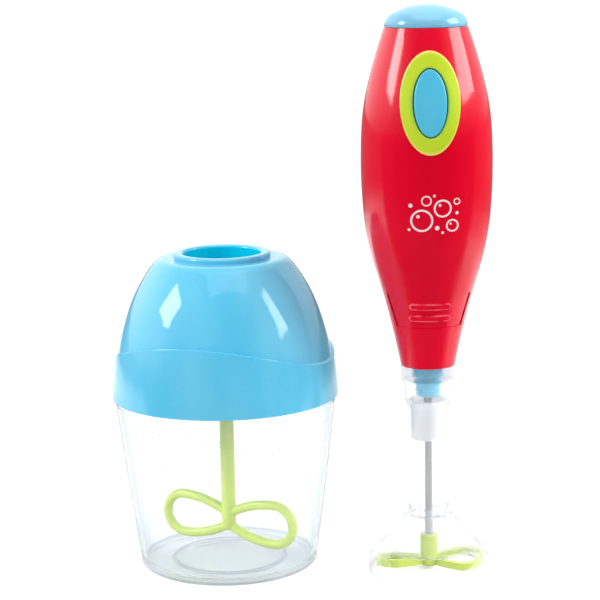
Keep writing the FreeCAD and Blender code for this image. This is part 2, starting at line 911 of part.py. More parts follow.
def make_wand_drive():
    """Cup-shaped bush, driven coupling, ferrule and steel shaft."""
    bush = turned("coupling_bush", [
        (d.shaft_radius + d.loose_gap, d.bush_bottom),
        (d.bush_radius, d.bush_bottom),
        (d.bush_radius, d.ledge),
        (d.bush_flange_radius, d.ledge),
        (d.bush_flange_radius, d.funnel_bottom),
        (d.drive_bore + d.bush_lead_in, d.funnel_bottom),
        (d.drive_bore, d.funnel_bottom - d.bush_lead_in),
        (d.drive_bore, d.bush_floor_top),
        (d.shaft_radius + d.loose_gap, d.bush_floor_top),
    ])
    node("coupling_bush", bush)
    driven = coupling("shaft_coupling", d.wand_coupling_top, d.wand_coupling_bottom,
                      d.ferrule_radius, d.ferrule_top)
    node("shaft_coupling", driven)
    ferrule = turned("shaft_ferrule", [
        (d.shaft_radius, d.wand_coupling_bottom),
        (d.ferrule_radius, d.wand_coupling_bottom),
        (d.ferrule_radius, d.ferrule_top - d.ferrule_round),
        (d.ferrule_radius - d.ferrule_round, d.ferrule_top, d.ferrule_round, 1),
        (0, d.ferrule_top),
        (0, d.shaft_top),
        (d.shaft_radius, d.shaft_top),
    ])
    node("shaft_ferrule", ferrule)
    shaft = turned("blade_shaft", [
        (0, d.shaft_bottom),
        (d.shaft_radius, d.shaft_bottom),
        (d.shaft_radius, d.shaft_top),
        (0, d.shaft_top),
    ])
    node("blade_shaft", shaft)


def blade_outline(inset):
    """Plan of one blade loop, or of its window when inset by the strand's width."""
    end_radius = d.blade_end_radius - inset
    centre = d.blade_reach - d.blade_end_radius
    root = d.blade_root + inset
    reach = d.blade_reach - inset
    return [
        (root, -d.blade_root),
        (centre, -end_radius, d.blade_bend, 1),
        (reach, 0, end_radius, 1),
        (centre, end_radius, end_radius, 1),
        (root, d.blade_root, d.blade_bend, 1),
    ]


def make_blade():
    """Two pitched ribbon loops on a hub."""
    hub = turned("blade_hub", [
        (0, d.hub_bottom),
        (d.hub_radius - d.hub_chamfer, d.hub_bottom),
        (d.hub_radius, d.hub_bottom + d.hub_chamfer),
        (d.hub_radius, d.hub_top - d.hub_top_chamfer),
        (d.hub_radius - d.hub_top_chamfer, d.hub_top),
        (d.shaft_radius, d.hub_top),
        (d.shaft_radius, d.shaft_bottom),
        (0, d.shaft_bottom),
    ])
    middle = (d.blade_low + d.blade_high) / 2
    half = (d.blade_high - d.blade_low) / 2
    loop = new_body("blade_loop")
    sketch = new_sketch(loop, "blade_loop_plan", "XY_Plane", -half)
    draw(sketch, blade_outline(NOTHING))
    draw(sketch, blade_outline(d.blade_strand))
    pad(loop, "blade_loop_pad", sketch, half * 2)
    # A bore clears the shaft, so that the loops end in the hub's wall.
    core = new_sketch(loop, "blade_loop_core", "XY_Plane", -half)
    draw_circle(core, 0, 0, d.hub_radius - d.hub_wall)
    pocket(loop, "blade_loop_core_cut", core, half * 4, both_ways=True)
    loop.Placement.Rotation = FreeCAD.Rotation(FreeCAD.Vector(1, 0, 0), d.blade_pitch.number)
    bind(loop, "Placement.Base.z", middle)
    pitched = grouped("blade_loop_pitched", loop)
    blade = fused("blade", hub, pitched, half_turned("blade_loop_twin", pitched))
    return node("blade", blade)


# ---------------------------------------------------------------- handle shells

def shell_line(shift, downwards=False):
    """The spindle's outline as tangent arcs, moved outwards by shift; the first corner has no arc."""
    corners = [
        (d.shell_neck_radius, d.shell_neck),
        (d.shell_flank_radius, d.shell_flank, d.shell_neck_bend, -1),
        (d.shell_hip_radius, d.shell_hip, d.shell_hip_bend, 1),
        (d.shell_belly_radius, d.shell_belly, d.shell_belly_bend, 1),
        (d.shell_shoulder_radius, d.shell_shoulder, d.shell_shoulder_bend, 1),
        (d.shell_top_radius, d.shell_top, d.shell_upper_bend, 1),
    ]
    moved = [(corner[0] + shift,) + corner[1:] for corner in corners]
    if not downwards:
        return [moved[0][:2]] + moved[1:]
    line = [moved[-1][:2]]
    for index in range(len(moved) - 1, 0, -1):
        radius, height = moved[index - 1][:2]
        bend, side = moved[index][2:]
        line.append((radius, height, bend, -side))
    return line


def spindle_belt(name, inward, outward, degrees=360, forwards=False):
    """A band that follows the spindle's surface from inward of it to outward of it."""
    outline = shell_line(outward) + shell_line(-inward, downwards=True)
    return turned(name, outline, degrees, forwards)


def spindle_core(name, shift):
    """The solid spindle, grown or shrunk by shift."""
    return turned(name, shell_line(shift) + [(0, d.shell_top), (0, d.shell_neck)])


def boss(name, x, height, length, backwards):
    """A screw boss along Y from just behind the parting plane into the shell's wall."""
    if backwards:
        return rod_along_y(name, x, height, d.boss_radius, d.boss_relief, length)
    return rod_along_y(name, x, height, d.boss_radius, -length, -d.boss_relief)


def screw_places():
    return [
        (d.upper_boss_x, d.upper_boss_height, d.upper_boss_length),
        (-d.upper_boss_x, d.upper_boss_height, d.upper_boss_length),
        (d.lower_boss_x, d.lower_boss_height, d.lower_boss_length),
        (-d.lower_boss_x, d.lower_boss_height, d.lower_boss_length),
    ]


def grip_tool():
    """The shallow wrap-round panel that is sunk into the neck, as the material to remove."""
    outline = [
        (-d.grip_bottom_half_width, d.grip_bottom),
        (d.grip_bottom_half_width, d.grip_bottom),
        (d.grip_top_half_width, d.grip_top),
        (-d.grip_top_half_width, d.grip_top),
    ]
    wedge = across("grip_wedge", [outline], -d.cutter_far, -d.grip_near)
    return common("grip_panel", wedge, spindle_belt("grip_belt", d.grip_depth, d.shell_wall))


def grip_ribs():
    outlines = []
    for height in (d.upper_rib, d.lower_rib):
        outlines.append(stadium(d.rib_half_width, height - d.rib_tall / 2, height + d.rib_tall / 2))
    wedge = across("rib_wedge", outlines, -d.cutter_far, -d.grip_near)
    return common("grip_ribs", wedge, spindle_belt("rib_belt", d.grip_depth * 2, d.rib_proud))


def make_housing_front():
    shell = spindle_belt("front_half", d.shell_wall, NOTHING, 180, forwards=True)
    hole = oval_across("front_switch_hole", d.switch_height,
                       d.bezel_half_width + d.running_gap, d.bezel_half_height + d.running_gap,
                       -d.cutter_far, -d.cutter_near)
    shell = cut("front_with_switch", shell, hole)
    shell = cut("front_with_grip", shell, grip_tool())
    pieces = [shell, grip_ribs()]
    holes = []
    for index, (x, height, length) in enumerate(screw_places()):
        pieces.append(boss("front_boss_%d" % index, x, height, length, False))
        holes.append(rod_along_y("front_pilot_%d" % index, x, height, d.screw_radius,
                                 -d.screw_tip - d.boss_relief, NOTHING))
    solid = cut("housing_front", fused("front_fused", *pieces), fused("front_pilots", *holes))
    return node("housing_front", solid)


def door_outline(gap):
    return rounded_rectangle(d.door_half_width - gap, d.door_low + gap, d.door_high - gap, d.door_corner)


def seam_groove():
    """The fine step that leaves a shadow line where the shells meet, as the material to remove."""
    outline = rectangle(-d.cutter_far, d.cutter_far, 0, d.seam_width)
    slab = upright("seam_slab", lambda sketch: draw(sketch, outline), d.shell_neck, d.shell_top)
    return common("seam_groove", slab, spindle_belt("seam_belt", d.seam_depth, d.shell_wall))


def make_housing_rear():
    shell = spindle_belt("rear_half", d.shell_wall, NOTHING, 180)
    shell = cut("rear_with_seam", shell, seam_groove())
    doorway = across("rear_doorway", [door_outline(NOTHING)], d.cutter_near, d.cutter_far)
    pieces = [cut("rear_with_door", shell, doorway)]
    holes = []
    for index, (x, height, length) in enumerate(screw_places()):
        pieces.append(boss("rear_boss_%d" % index, x, height, length, True))
        holes.append(rod_along_y("rear_bore_%d" % index, x, height, d.screw_radius + d.screw_play,
                                 NOTHING, d.cutter_far))
        holes.append(rod_along_y("rear_sink_%d" % index, x, height, d.screw_head_radius + d.screw_play,
                                 d.screw_seat, d.cutter_far))
    solid = cut("housing_rear", fused("rear_fused", *pieces), fused("rear_bores", *holes))
    return node("housing_rear", solid)


def screw(name, x, height, tip, seat):
    """A cross-head screw along Y whose head sits on seat and whose shank reaches forward to tip."""
    shank = rod_along_y(name + "_shank", x, height, d.screw_radius, tip, seat)
    head = rod_along_y(name + "_head", x, height, d.screw_head_radius, seat, seat + d.screw_head)
    half_slot = d.screw_slot / 2
    slot_floor = seat + d.screw_head / 2
    arms = []
    reach = d.screw_slot_reach
    for word, wide, tall in (("level", reach, half_slot), ("plumb", half_slot, reach)):
        outline = rectangle(x - wide, x + wide, height - tall, height + tall)
        arms.append(across(name + "_" + word, [outline], slot_floor, seat + d.screw_head * 2))
    return cut(name, fused(name + "_blank", shank, head), fused(name + "_recess", *arms))


def make_housing_screws():
    screws = []
    for index, (x, height, length) in enumerate(screw_places()):
        screws.append(screw("housing_screw_%d" % index, x, height, -d.screw_tip, d.screw_seat))
    return node("housing_screws", grouped("housing_screws", *screws))


def crown_bend(radius, rise):
    """The bend of an arc that rises from a radius to a crown on the axis, square to the axis."""
    return (radius * radius + rise * rise) / (rise * 2)


def make_top_cap():
    """Thin domed cap with a short skirt that plugs into the two shells."""
    rise = d.cap_crown - d.cap_shoulder
    bore = d.cap_plug_radius - d.cap_wall
    inner_rise = rise - d.cap_wall / 2
    body = turned("top_cap", [
        (d.cap_plug_radius, d.cap_plug),
        (d.cap_plug_radius, d.cap_seam),
        (d.cap_radius, d.cap_seam),
        (d.cap_radius, d.cap_edge),
        (d.cap_shoulder_radius, d.cap_shoulder, d.cap_edge_bend, 1),
        (0, d.cap_crown, crown_bend(d.cap_shoulder_radius, rise), 1),
        (0, d.cap_crown - d.cap_wall),
        (bore, d.cap_crown - d.cap_wall - inner_rise, crown_bend(bore, inner_rise), -1),
        (bore, d.cap_plug),
    ])
    return node("top_cap", body)


# ---------------------------------------------------------------- switch

def rounded_rims(name, thing, radius):
    """Round every edge along which an upright oval meets the handle's double-curved surface."""
    doc.recompute()
    rims = []
    for number, edge in enumerate(thing.Shape.Edges, start=1):
        if edge.Curve.TypeId == "Part::GeomBSplineCurve":
            rims.append((number, radius.number, radius.number))
    fillet = doc.addObject("Part::Fillet", name)
    fillet.Base = thing
    fillet.Edges = rims
    return fillet


def switch_oval(name, grow, back):
    """An upright oval prism concentric with the switch, grown from the button's outline."""
    half_width, half_height = grow
    return oval_across(name, d.switch_height, half_width, half_height, -d.cutter_far, -back)


def make_switch_bezel():
    """Oval ring with rounded rims that follows the handle's surface, and a flange behind the wall."""
    outside = switch_oval("bezel_oval", (d.bezel_half_width, d.bezel_half_height), d.cutter_near)
    window_size = (d.button_half_width + d.button_gap, d.button_half_height + d.button_gap)
    window = switch_oval("bezel_window", window_size, d.cutter_near)
    face = common("bezel_face", cut("bezel_tube", outside, window), spindle_core("bezel_core", d.bezel_proud))
    ring = cut("bezel_ring", rounded_rims("bezel_rounded", face, d.bezel_round),
               spindle_core("bezel_inside", -d.bezel_depth))
    flange_size = (d.bezel_half_width + d.bezel_flange, d.bezel_half_height + d.bezel_flange)
    flange_tube = cut("bezel_flange_tube", switch_oval("bezel_flange_oval", flange_size, d.cutter_near),
                      switch_oval("bezel_flange_window", window_size, d.cutter_near))
    flange = common("bezel_flange", flange_tube,
                    spindle_belt("bezel_flange_belt", d.bezel_flange_depth, -d.shell_wall - d.running_gap))
    return node("switch_bezel", fused("switch_bezel", ring, flange))


def make_switch_button():
    """Push button: an oval cap with a rounded rim, domed like the handle, on a barbed stem."""
    oval = switch_oval("button_oval", (d.button_half_width, d.button_half_height), d.button_back)
    face = common("button_face", oval, spindle_core("button_core", d.button_proud))
    cap = rounded_rims("button_cap", face, d.button_round)
    stem = rod_along_y("button_stem", 0, d.switch_height, d.button_stem_radius,
                       -d.button_back - d.spring_wire, -d.button_stem_end)
    barb = rod_along_y("button_barb", 0, d.switch_height, d.button_barb_radius,
                       -d.carrier_back + d.boss_relief, -d.button_stem_end)
    return node("switch_button", fused("switch_button", cap, stem, barb))


def make_switch_works():
    """Carrier bridge behind the button, its return spring and the two contact leaves."""
    low = d.switch_height - d.carrier_half_height
    high = d.switch_height + d.carrier_half_height
    outline = rectangle(-d.carrier_half_width, d.carrier_half_width, low, high)
    plate = across("carrier_plate", [outline], -d.carrier_front, -d.carrier_back)
    hole = rod_along_y("carrier_hole", 0, d.switch_height, d.button_stem_radius + d.running_gap,
                       -d.cutter_near * 2, NOTHING)
    node("switch_carrier", cut("switch_carrier", plate, hole))

    room = d.button_back - d.carrier_front - d.spring_wire * 2 - d.loose_gap
    spring = new_body("button_spring_coil")
    wire = new_sketch(spring, "button_spring_wire")
    draw_circle(wire, d.spring_radius, 0, d.spring_wire)
    coil = spring.newObject("PartDesign::AdditiveHelix", "button_spring_helix")
    coil.Profile = wire
    coil.ReferenceAxis = (wire, ["V_Axis"])
    coil.Mode = "pitch-height-angle"
    bind(coil, "Pitch", d.spring_pitch)
    bind(coil, "Height", room)
    spring.Placement.Rotation = FreeCAD.Rotation(FreeCAD.Vector(1, 0, 0), 90)
    bind(spring, "Placement.Base.y", -(d.button_back + d.carrier_front - room) / 2)
    bind(spring, "Placement.Base.z", d.switch_height)
    node("button_spring", grouped("button_spring", spring))

    leaf_top = d.switch_height + d.button_barb_radius
    leaf = rectangle(-d.leaf_half_width, d.leaf_half_width, low, leaf_top)
    for word, front in (("moving", d.moving_leaf_front), ("fixed", d.fixed_leaf_front)):
        name = "switch_leaf_" + word
        node(name, across(name, [leaf], -front, -front + d.leaf_thickness))


# ---------------------------------------------------------------- drive

def make_coupling_nose():
    """Blue nose that plugs into the wand or the lid: plug in the shells, flange, spigot with a ridge
    and a broader band that snaps below the collar's floor.
    """
    ridge = d.nose_radius + d.nose_ridge
    bore = d.spindle_radius + d.running_gap
    outline = [
        (bore, d.nose_bottom),
        (d.nose_radius - d.nose_chamfer, d.nose_bottom),
        (d.nose_radius, d.nose_bottom + d.nose_chamfer),
    ]
    for low, tall in ((d.nose_ridge_low, d.nose_ridge_tall), (d.nose_band_low, d.nose_band_tall)):
        outline += [
            (d.nose_radius, low),
            (ridge, low + d.nose_ridge_slope),
            (ridge, low + tall - d.nose_ridge_slope),
            (d.nose_radius, low + tall),
        ]
    outline += [
        (d.nose_radius, d.nose_flange_low),
        (d.nose_flange_radius, d.nose_flange_low),
        (d.nose_flange_radius, d.shell_neck),
        (d.nose_plug_radius, d.shell_neck),
        (d.nose_plug_radius, d.nose_plug_top),
        (d.nose_chamber, d.nose_plug_top),
        (d.nose_chamber, d.nose_bearing_top),
        (bore, d.nose_bearing_top),
    ]
    return node("coupling_nose", turned("coupling_nose", outline))


def make_output_spindle():
    """Steel spindle with a hexagonal tip that drives whichever coupling it is pushed into."""
    rod = turned("spindle_rod", [
        (0, d.tip_top),
        (d.spindle_radius, d.tip_top),
        (d.spindle_radius, d.spindle_top),
        (0, d.spindle_top),
    ])
    tip = upright("spindle_tip", lambda sketch: draw_hexagon(sketch, d.tip_hexagon),
                  d.spindle_bottom, d.tip_top)
    return node("output_spindle", fused("output_spindle", rod, tip))


def involute_space(teeth, clearance):
    """Half of one tooth space of an involute gear, as (radius, angle) pairs from the root outwards.

    The flank is r = base / cos(a) at the polar angle tan(a) - a from where it leaves the base
    circle, with a 20 degree pressure angle at the pitch circle.  The space runs a little way past
    the blank's rim, so that it cuts cleanly through it.
    """
    pressure = math.radians(20)
    dedendum = 1.25
    overrun = 0.3
    pitch = d.gear_module.number * teeth / 2
    base = pitch * math.cos(pressure)
    root = pitch - dedendum * d.gear_module.number
    tip = pitch + d.gear_module.number
    at_pitch = math.tan(pressure) - pressure
    quarter = math.pi / (2 * teeth) + clearance / (2 * pitch)
    start = max(base, root)
    flank = []
    steps = 5
    for step in range(steps + 1):
        radius = start + (tip + overrun - start) * step / steps
        turn = math.acos(min(1.0, base / radius))
        flank.append((radius, quarter + (math.tan(turn) - turn) - at_pitch))
    if root < base:
        flank.insert(0, (root, flank[0][1]))
    return flank


def gear(name, teeth, low, width, bore, phase):
    """A spur gear: a turned blank with one involute tooth space cut in it and patterned round."""
    tip = d.gear_module * (teeth / 2 + 1)
    body = turned(name, [
        (bore, low),
        (tip, low),
        (tip, low + width),
        (bore, low + width),
    ])
    sketch = new_sketch(body, name + "_space", "XY_Plane", low)
    flank = involute_space(teeth, d.gear_clearance.number)
    left = [FreeCAD.Vector(r * math.cos(phase + a), r * math.sin(phase + a), 0) for r, a in flank]
    right = [FreeCAD.Vector(r * math.cos(phase - a), r * math.sin(phase - a), 0) for r, a in flank]
    outline = left + right[::-1]
    for index, corner in enumerate(outline):
        sketch.addGeometry(Part.LineSegment(corner, outline[(index + 1) % len(outline)]))
    count = len(outline)
    for index in range(count):
        sketch.addConstraint(Sketcher.Constraint("Coincident", index, 2, (index + 1) % count, 1))
        sketch.addConstraint(Sketcher.Constraint("Block", index))
    space = pocket(body, name + "_space_cut", sketch, width, upwards=True)
    pattern = body.newObject("PartDesign::PolarPattern", name + "_teeth")
    pattern.Originals = [space]
    pattern.Axis = (sketch, ["N_Axis"])
    pattern.Angle = 360
    pattern.Occurrences = teeth
    body.Tip = pattern
    return body


def make_gear_train():
    gear_teeth, pinion_teeth = 26, 10
    centre = d.gear_module * ((gear_teeth + pinion_teeth) / 2) + d.gear_clearance
    # The wheel has a tooth space on -Y, towards the pinion, which has a tooth on +Y there.
    wheel = gear("gear_rim", gear_teeth, d.gear_low, d.gear_width, d.spindle_radius, -math.pi / 2)
    hub = turned("gear_hub", [
        (d.spindle_radius, d.gear_low + d.gear_width),
        (d.gear_hub_radius, d.gear_low + d.gear_width),
        (d.gear_hub_radius, d.gear_hub_top),
        (d.spindle_radius, d.gear_hub_top),
    ])
    node("drive_gear", fused("drive_gear", wheel, hub))
    pinion = gear("pinion_blank", pinion_teeth, d.pinion_low, d.pinion_width, d.motor_shaft_radius,
                  math.pi / 2 + math.pi / pinion_teeth)
    offset = grouped("motor_pinion", pinion)
    node("motor_pinion", offset)
    bind(offset, "Placement.Base.y", d.wand_axis_y - centre)
    return centre


def make_motor(centre):
    """Small can motor: flat-sided steel can, plastic end cap with two tabs, and the rotor's shaft."""
    bore = d.motor_shaft_radius + d.running_gap
    sides = rectangle(-d.motor_radius * 1.1, d.motor_radius * 1.1, -d.motor_half_depth, d.motor_half_depth)

    def flat_sided(name, low, high):
        drum = turned(name + "_drum", rectangle(bore, d.motor_radius, low, high))
        slab = upright(name + "_slab", lambda sketch: draw(sketch, sides), low, high)
        return common(name + "_flat", drum, slab)

    nose = turned("motor_nose", [
        (bore, d.motor_low - d.motor_nose),
        (d.motor_nose_radius, d.motor_low - d.motor_nose),
        (d.motor_nose_radius, d.motor_low),
        (bore, d.motor_low),
    ])
    can = fused("motor_can", flat_sided("can", d.motor_low, d.motor_can_top), nose)
    node("motor_can", can)
    tabs = []
    half_width = d.tab_width / 2
    half_thickness = d.tab_thickness / 2
    for word, side in (("left", -1), ("right", 1)):
        middle = d.tab_x * side
        outline = rectangle(middle - half_width, middle + half_width, -half_thickness, half_thickness)
        tab = upright("motor_tab_" + word, lambda sketch: draw(sketch, outline), d.motor_top, d.tab_top)
        tabs.append(tab)
    end_cap = fused("motor_end_cap", flat_sided("end", d.motor_can_top, d.motor_top), *tabs)
    node("motor_end_cap", end_cap)
    shaft = turned("motor_shaft", [
        (0, d.motor_shaft_low),
        (d.motor_shaft_radius, d.motor_shaft_low),
        (d.motor_shaft_radius, d.motor_shaft_high),
        (0, d.motor_shaft_high),
    ])
    node("motor_shaft", shaft)
    for thing in (can, end_cap, shaft):
        bind(thing, "Placement.Base.y", d.wand_axis_y - centre)


def make_gearbox(centre):
    """Plate under the motor and cover with two pillars; both carry the spindle."""
    bearing = d.spindle_radius + d.running_gap

    def plate_outline(sketch):
        draw_circle(sketch, 0, 0, d.plate_radius)
        draw_circle(sketch, 0, 0, bearing)
        draw_circle(sketch, 0, -centre, d.motor_nose_radius + d.running_gap)
        for side in (-1, 1):
            draw_circle(sketch, d.pillar_x * side, d.pillar_y, d.gearbox_screw_radius)

    node("gearbox_plate", upright("gearbox_plate", plate_outline, d.plate_low, d.plate_high))

    def cover_outline(sketch):
        draw_circle(sketch, 0, 0, d.cover_radius)
        draw_circle(sketch, 0, 0, bearing)

    pieces = [upright("cover_disc", cover_outline, d.cover_low, d.cover_high)]
    shanks = []
    screws = []
    shank_low = d.plate_low - d.gearbox_screw_length
    head_top = d.plate_high + d.gearbox_screw_head
    for word, side in (("left", -1), ("right", 1)):
        middle = d.pillar_x * side

        def pillar_outline(sketch):
            draw_circle(sketch, middle, d.pillar_y, d.pillar_radius)

        def shank_outline(sketch):
            draw_circle(sketch, middle, d.pillar_y, d.gearbox_screw_radius)

        pieces.append(upright("cover_pillar_" + word, pillar_outline, d.cover_high, d.plate_low))
        shank = upright("gearbox_shank_" + word, shank_outline, shank_low, d.plate_high)
        head = upright("gearbox_head_" + word, pillar_outline, d.plate_high, head_top)
        screws.append(fused("gearbox_screw_" + word, shank, head))
        shanks.append(shank)
    cover = cut("gearbox_cover", fused("cover_solid", *pieces), fused("cover_pilots", *shanks))
    node("gearbox_cover", cover)
    node("gearbox_screws", grouped("gearbox_screws", *screws))


# ---------------------------------------------------------------- battery bay

def make_battery_tray():
    inside = rectangle(-(d.tray_half_width - d.tray_wall), d.tray_half_width - d.tray_wall,
                       d.tray_low + d.tray_wall, d.tray_high - d.tray_wall)
    frame = across("tray_frame",
                   [rectangle(-d.tray_half_width, d.tray_half_width, d.tray_low, d.tray_high), inside],
                   d.tray_front, d.tray_back)
    wall = across("tray_wall", [inside], d.tray_front, d.tray_front + d.tray_wall)
    screw_boss = rod_along_y("tray_boss", 0, d.door_screw_height, d.door_boss_radius,
                             d.door_boss_front, d.door_boss_back)
    web_low = d.door_screw_height + d.screw_radius + d.tray_wall / 2
    web_outline = rectangle(-d.tray_wall, d.tray_wall, web_low, d.tray_low + d.tray_wall)
    web = across("tray_web", [web_outline], d.door_boss_front, d.tray_back)
    pilot = rod_along_y("tray_pilot", 0, d.door_screw_height, d.screw_radius + d.running_gap,
                        d.door_boss_front + d.tray_wall, d.cutter_far)
    solid = fused("tray_solid", frame, wall, screw_boss, web)
    return node("battery_tray", cut("battery_tray", solid, pilot))


def make_cells():
    """Two cells side by side in series, so the right one stands on its nub."""
    top = d.cell_high + d.cell_nub
    nub_above = [
        (0, d.cell_low),
        (d.cell_radius, d.cell_low),
        (d.cell_radius, d.cell_high),
        (d.cell_nub_radius, d.cell_high),
        (d.cell_nub_radius, top),
        (0, top),
    ]
    nub_below = [
        (0, d.cell_low),
        (d.cell_nub_radius, d.cell_low),
        (d.cell_nub_radius, d.cell_low + d.cell_nub),
        (d.cell_radius, d.cell_low + d.cell_nub),
        (d.cell_radius, top),
        (0, top),
    ]
    for word, side, outline in (("left", -1, nub_above), ("right", 1, nub_below)):
        cell = node("aa_cell_" + word, turned("aa_cell_" + word, outline))
        bind(cell, "Placement.Base.x", d.wand_axis_x + d.cell_x * side)
        bind(cell, "Placement.Base.y", d.wand_axis_y + d.cell_y)


def make_contacts():
    """Stamped contact plates at the two ends of the tray."""
    front = d.tray_front + d.tray_wall
    back = d.tray_back - d.contact_margin
    half = d.contact_half_width
    low = d.tray_low + d.tray_wall
    high = d.tray_high - d.tray_wall
    pads = []
    for word, left, right in (("left", -half, -d.contact_margin), ("right", d.contact_margin, half)):
        outline = rectangle(left, right, low, low + d.contact_thickness)
        pads.append(across("lower_pad_" + word, [outline], front, back))
    node("lower_contacts", grouped("lower_contacts", *pads))
    bridge = rectangle(-half, half, high - d.contact_thickness, high)
    node("upper_contact", across("upper_contact", [bridge], front, back))


def make_battery_door():
    """Curved door flush with the rear shell, with a sunk screw into the tray's boss."""
    height = d.door_screw_height
    seat = d.door_boss_back + d.loose_gap + d.door_boss_floor
    blank = across("door_blank", [door_outline(d.door_gap)], d.cutter_near, d.cutter_far)
    panel = common("door_panel", blank, spindle_belt("door_belt", d.shell_wall, NOTHING))
    cup = rod_along_y("door_cup", 0, height, d.screw_head_radius + d.door_cup_wall,
                      d.door_boss_back + d.loose_gap, d.door_cup_back)
    sink = rod_along_y("door_sink", 0, height, d.screw_head_radius + d.screw_play, seat, d.cutter_far)
    hole = rod_along_y("door_hole", 0, height, d.screw_radius + d.screw_play, d.cutter_near, seat)
    solid = fused("door_solid", panel, cup)
    node("battery_door", cut("battery_door", solid, fused("door_bores", sink, hole)))
    node("door_screw", screw("door_screw", 0, height, d.door_boss_front + d.tray_wall * 2, seat))


# ---------------------------------------------------------------- build and export

make_jar()
make_lid()
make_stirrer()
make_stirrer_drive()
make_wand_tube()
make_blade_guard()
make_wand_drive()
make_blade()
make_housing_front()
make_housing_rear()
make_housing_screws()
make_top_cap()
make_switch_bezel()
make_switch_button()
make_switch_works()
make_coupling_nose()
make_output_spindle()
train_centre = make_gear_train()
make_motor(train_centre)
make_gearbox(train_centre)
make_battery_tray()
make_cells()
make_contacts()
make_battery_door()

doc.recompute()
faults = []
for thing in doc.Objects:
    if "Invalid" in thing.State or "Error" in thing.State:
        faults.append("%s: %s" % (thing.Name, thing.State))
for thing in nodes:
    shape = thing.Shape
    if shape.isNull() or not shape.isValid() or shape.Volume <= 0:
        faults.append("%s has no valid shape" % thing.Label)
if faults:
    raise RuntimeError("; ".join(faults))

os.makedirs("parts", exist_ok=True)
for thing in nodes:
    thing.Shape.exportStep("parts/%s.step" % thing.Label)
    box = thing.Shape.BoundBox
    print("%-20s solids %d  volume %9.1f  z %7.2f to %7.2f" % (
        thing.Label, len(thing.Shape.Solids), thing.Shape.Volume, box.ZMin, box.ZMax))
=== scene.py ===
# %% [markdown]
# # A toy stick blender and its jar, dressed for the camera
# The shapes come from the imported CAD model, which is loaded as a fixed frame: every object of it
# sits at the origin, in metres, with its place in its mesh. This lesson gives each piece the
# finish of the real one, adds the few things that the CAD model doesn't hold, and lights the set.

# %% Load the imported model
import json
import math

import bmesh
import bpy
from mathutils import Matrix, Quaternion, Vector
from mathutils.bvhtree import BVHTree


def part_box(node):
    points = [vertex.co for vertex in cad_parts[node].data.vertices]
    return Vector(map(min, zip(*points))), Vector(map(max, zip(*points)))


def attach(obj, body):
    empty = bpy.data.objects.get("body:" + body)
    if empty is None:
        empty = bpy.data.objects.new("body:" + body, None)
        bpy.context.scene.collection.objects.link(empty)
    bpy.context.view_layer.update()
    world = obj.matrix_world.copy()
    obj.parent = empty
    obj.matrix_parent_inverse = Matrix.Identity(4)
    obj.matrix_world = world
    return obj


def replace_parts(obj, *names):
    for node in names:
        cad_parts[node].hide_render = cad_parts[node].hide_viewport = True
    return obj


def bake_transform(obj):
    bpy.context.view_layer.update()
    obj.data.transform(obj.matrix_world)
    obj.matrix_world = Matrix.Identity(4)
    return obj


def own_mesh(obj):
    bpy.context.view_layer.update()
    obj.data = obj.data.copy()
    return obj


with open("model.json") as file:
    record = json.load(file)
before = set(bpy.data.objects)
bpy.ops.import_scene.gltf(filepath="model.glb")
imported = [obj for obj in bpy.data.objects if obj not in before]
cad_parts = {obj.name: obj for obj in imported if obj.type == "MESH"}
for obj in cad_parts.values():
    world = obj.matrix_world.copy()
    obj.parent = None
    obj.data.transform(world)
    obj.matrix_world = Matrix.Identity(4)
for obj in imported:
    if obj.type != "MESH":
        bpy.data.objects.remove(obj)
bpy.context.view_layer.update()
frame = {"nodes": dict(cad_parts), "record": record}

nodes = frame["nodes"]

# %% [markdown]
# ## The camera
# A long lens from a little above flattens the set and keeps its uprights nearly parallel. A
# camera can be made to follow a target, but here its place, its two turns and its focal length
# are plain numbers, so the view never depends on anything that moves. The slight roll leans the
# uprights to the left.

# %% Camera
PICTURE = 600                          # pixels across
FOCAL = 1926.8                         # pixels
EYE = (0.03503, -0.8634, 0.28997)      # metres
LOOKS_DOWN, ROLLS = 10.98, -1.08       # degrees

camera_data = bpy.data.cameras.new("camera")
camera_data.sensor_width = 36.0
camera_data.lens = FOCAL * camera_data.sensor_width / PICTURE
camera_data.clip_start = 0.01
camera_data.clip_end = 60.0
camera = bpy.data.objects.new("camera", camera_data)
pitch = Matrix.Rotation(math.radians(90.0 - LOOKS_DOWN), 4, "X")
roll = Matrix.Rotation(math.radians(ROLLS), 4, "Z")
camera.matrix_world = Matrix.Translation(EYE) @ pitch @ roll
bpy.context.scene.collection.objects.link(camera)
bpy.context.scene.camera = camera
bpy.context.scene.view_settings.view_transform = "Standard"
print("lens", round(camera_data.lens, 1), "mm")

# %% [markdown]
# ## Sums written as sums
# A material is a tree of nodes, and wiring a Multiply and an Add by hand for every sum is slow to
# write and hard to read. So one small class wraps an output socket, and Python's own operators on
# it put in the Math nodes: `edge * 0.3 + 0.1` is all there is to write. Every node comes from
# `add_node`, which sets its options first, because they decide which sockets it shows.

# %% Wires
def plug(socket, value):
    """Link a wire to a socket, or set the socket to a plain value."""
    if isinstance(value, Wire):
        socket.id_data.links.new(value.socket, socket)
    else:
        socket.default_value = value


def add_node(tree, kind, inputs=None, output=0, **settings):
    """Add a node: its settings, then its values or links. Returns a wire from one output."""
    made = tree.nodes.new(kind)
    for key, value in settings.items():
        setattr(made, key, value)
    for key, value in (inputs or {}).items():
        plug(made.inputs[key], value)
    return Wire(made.outputs[output])


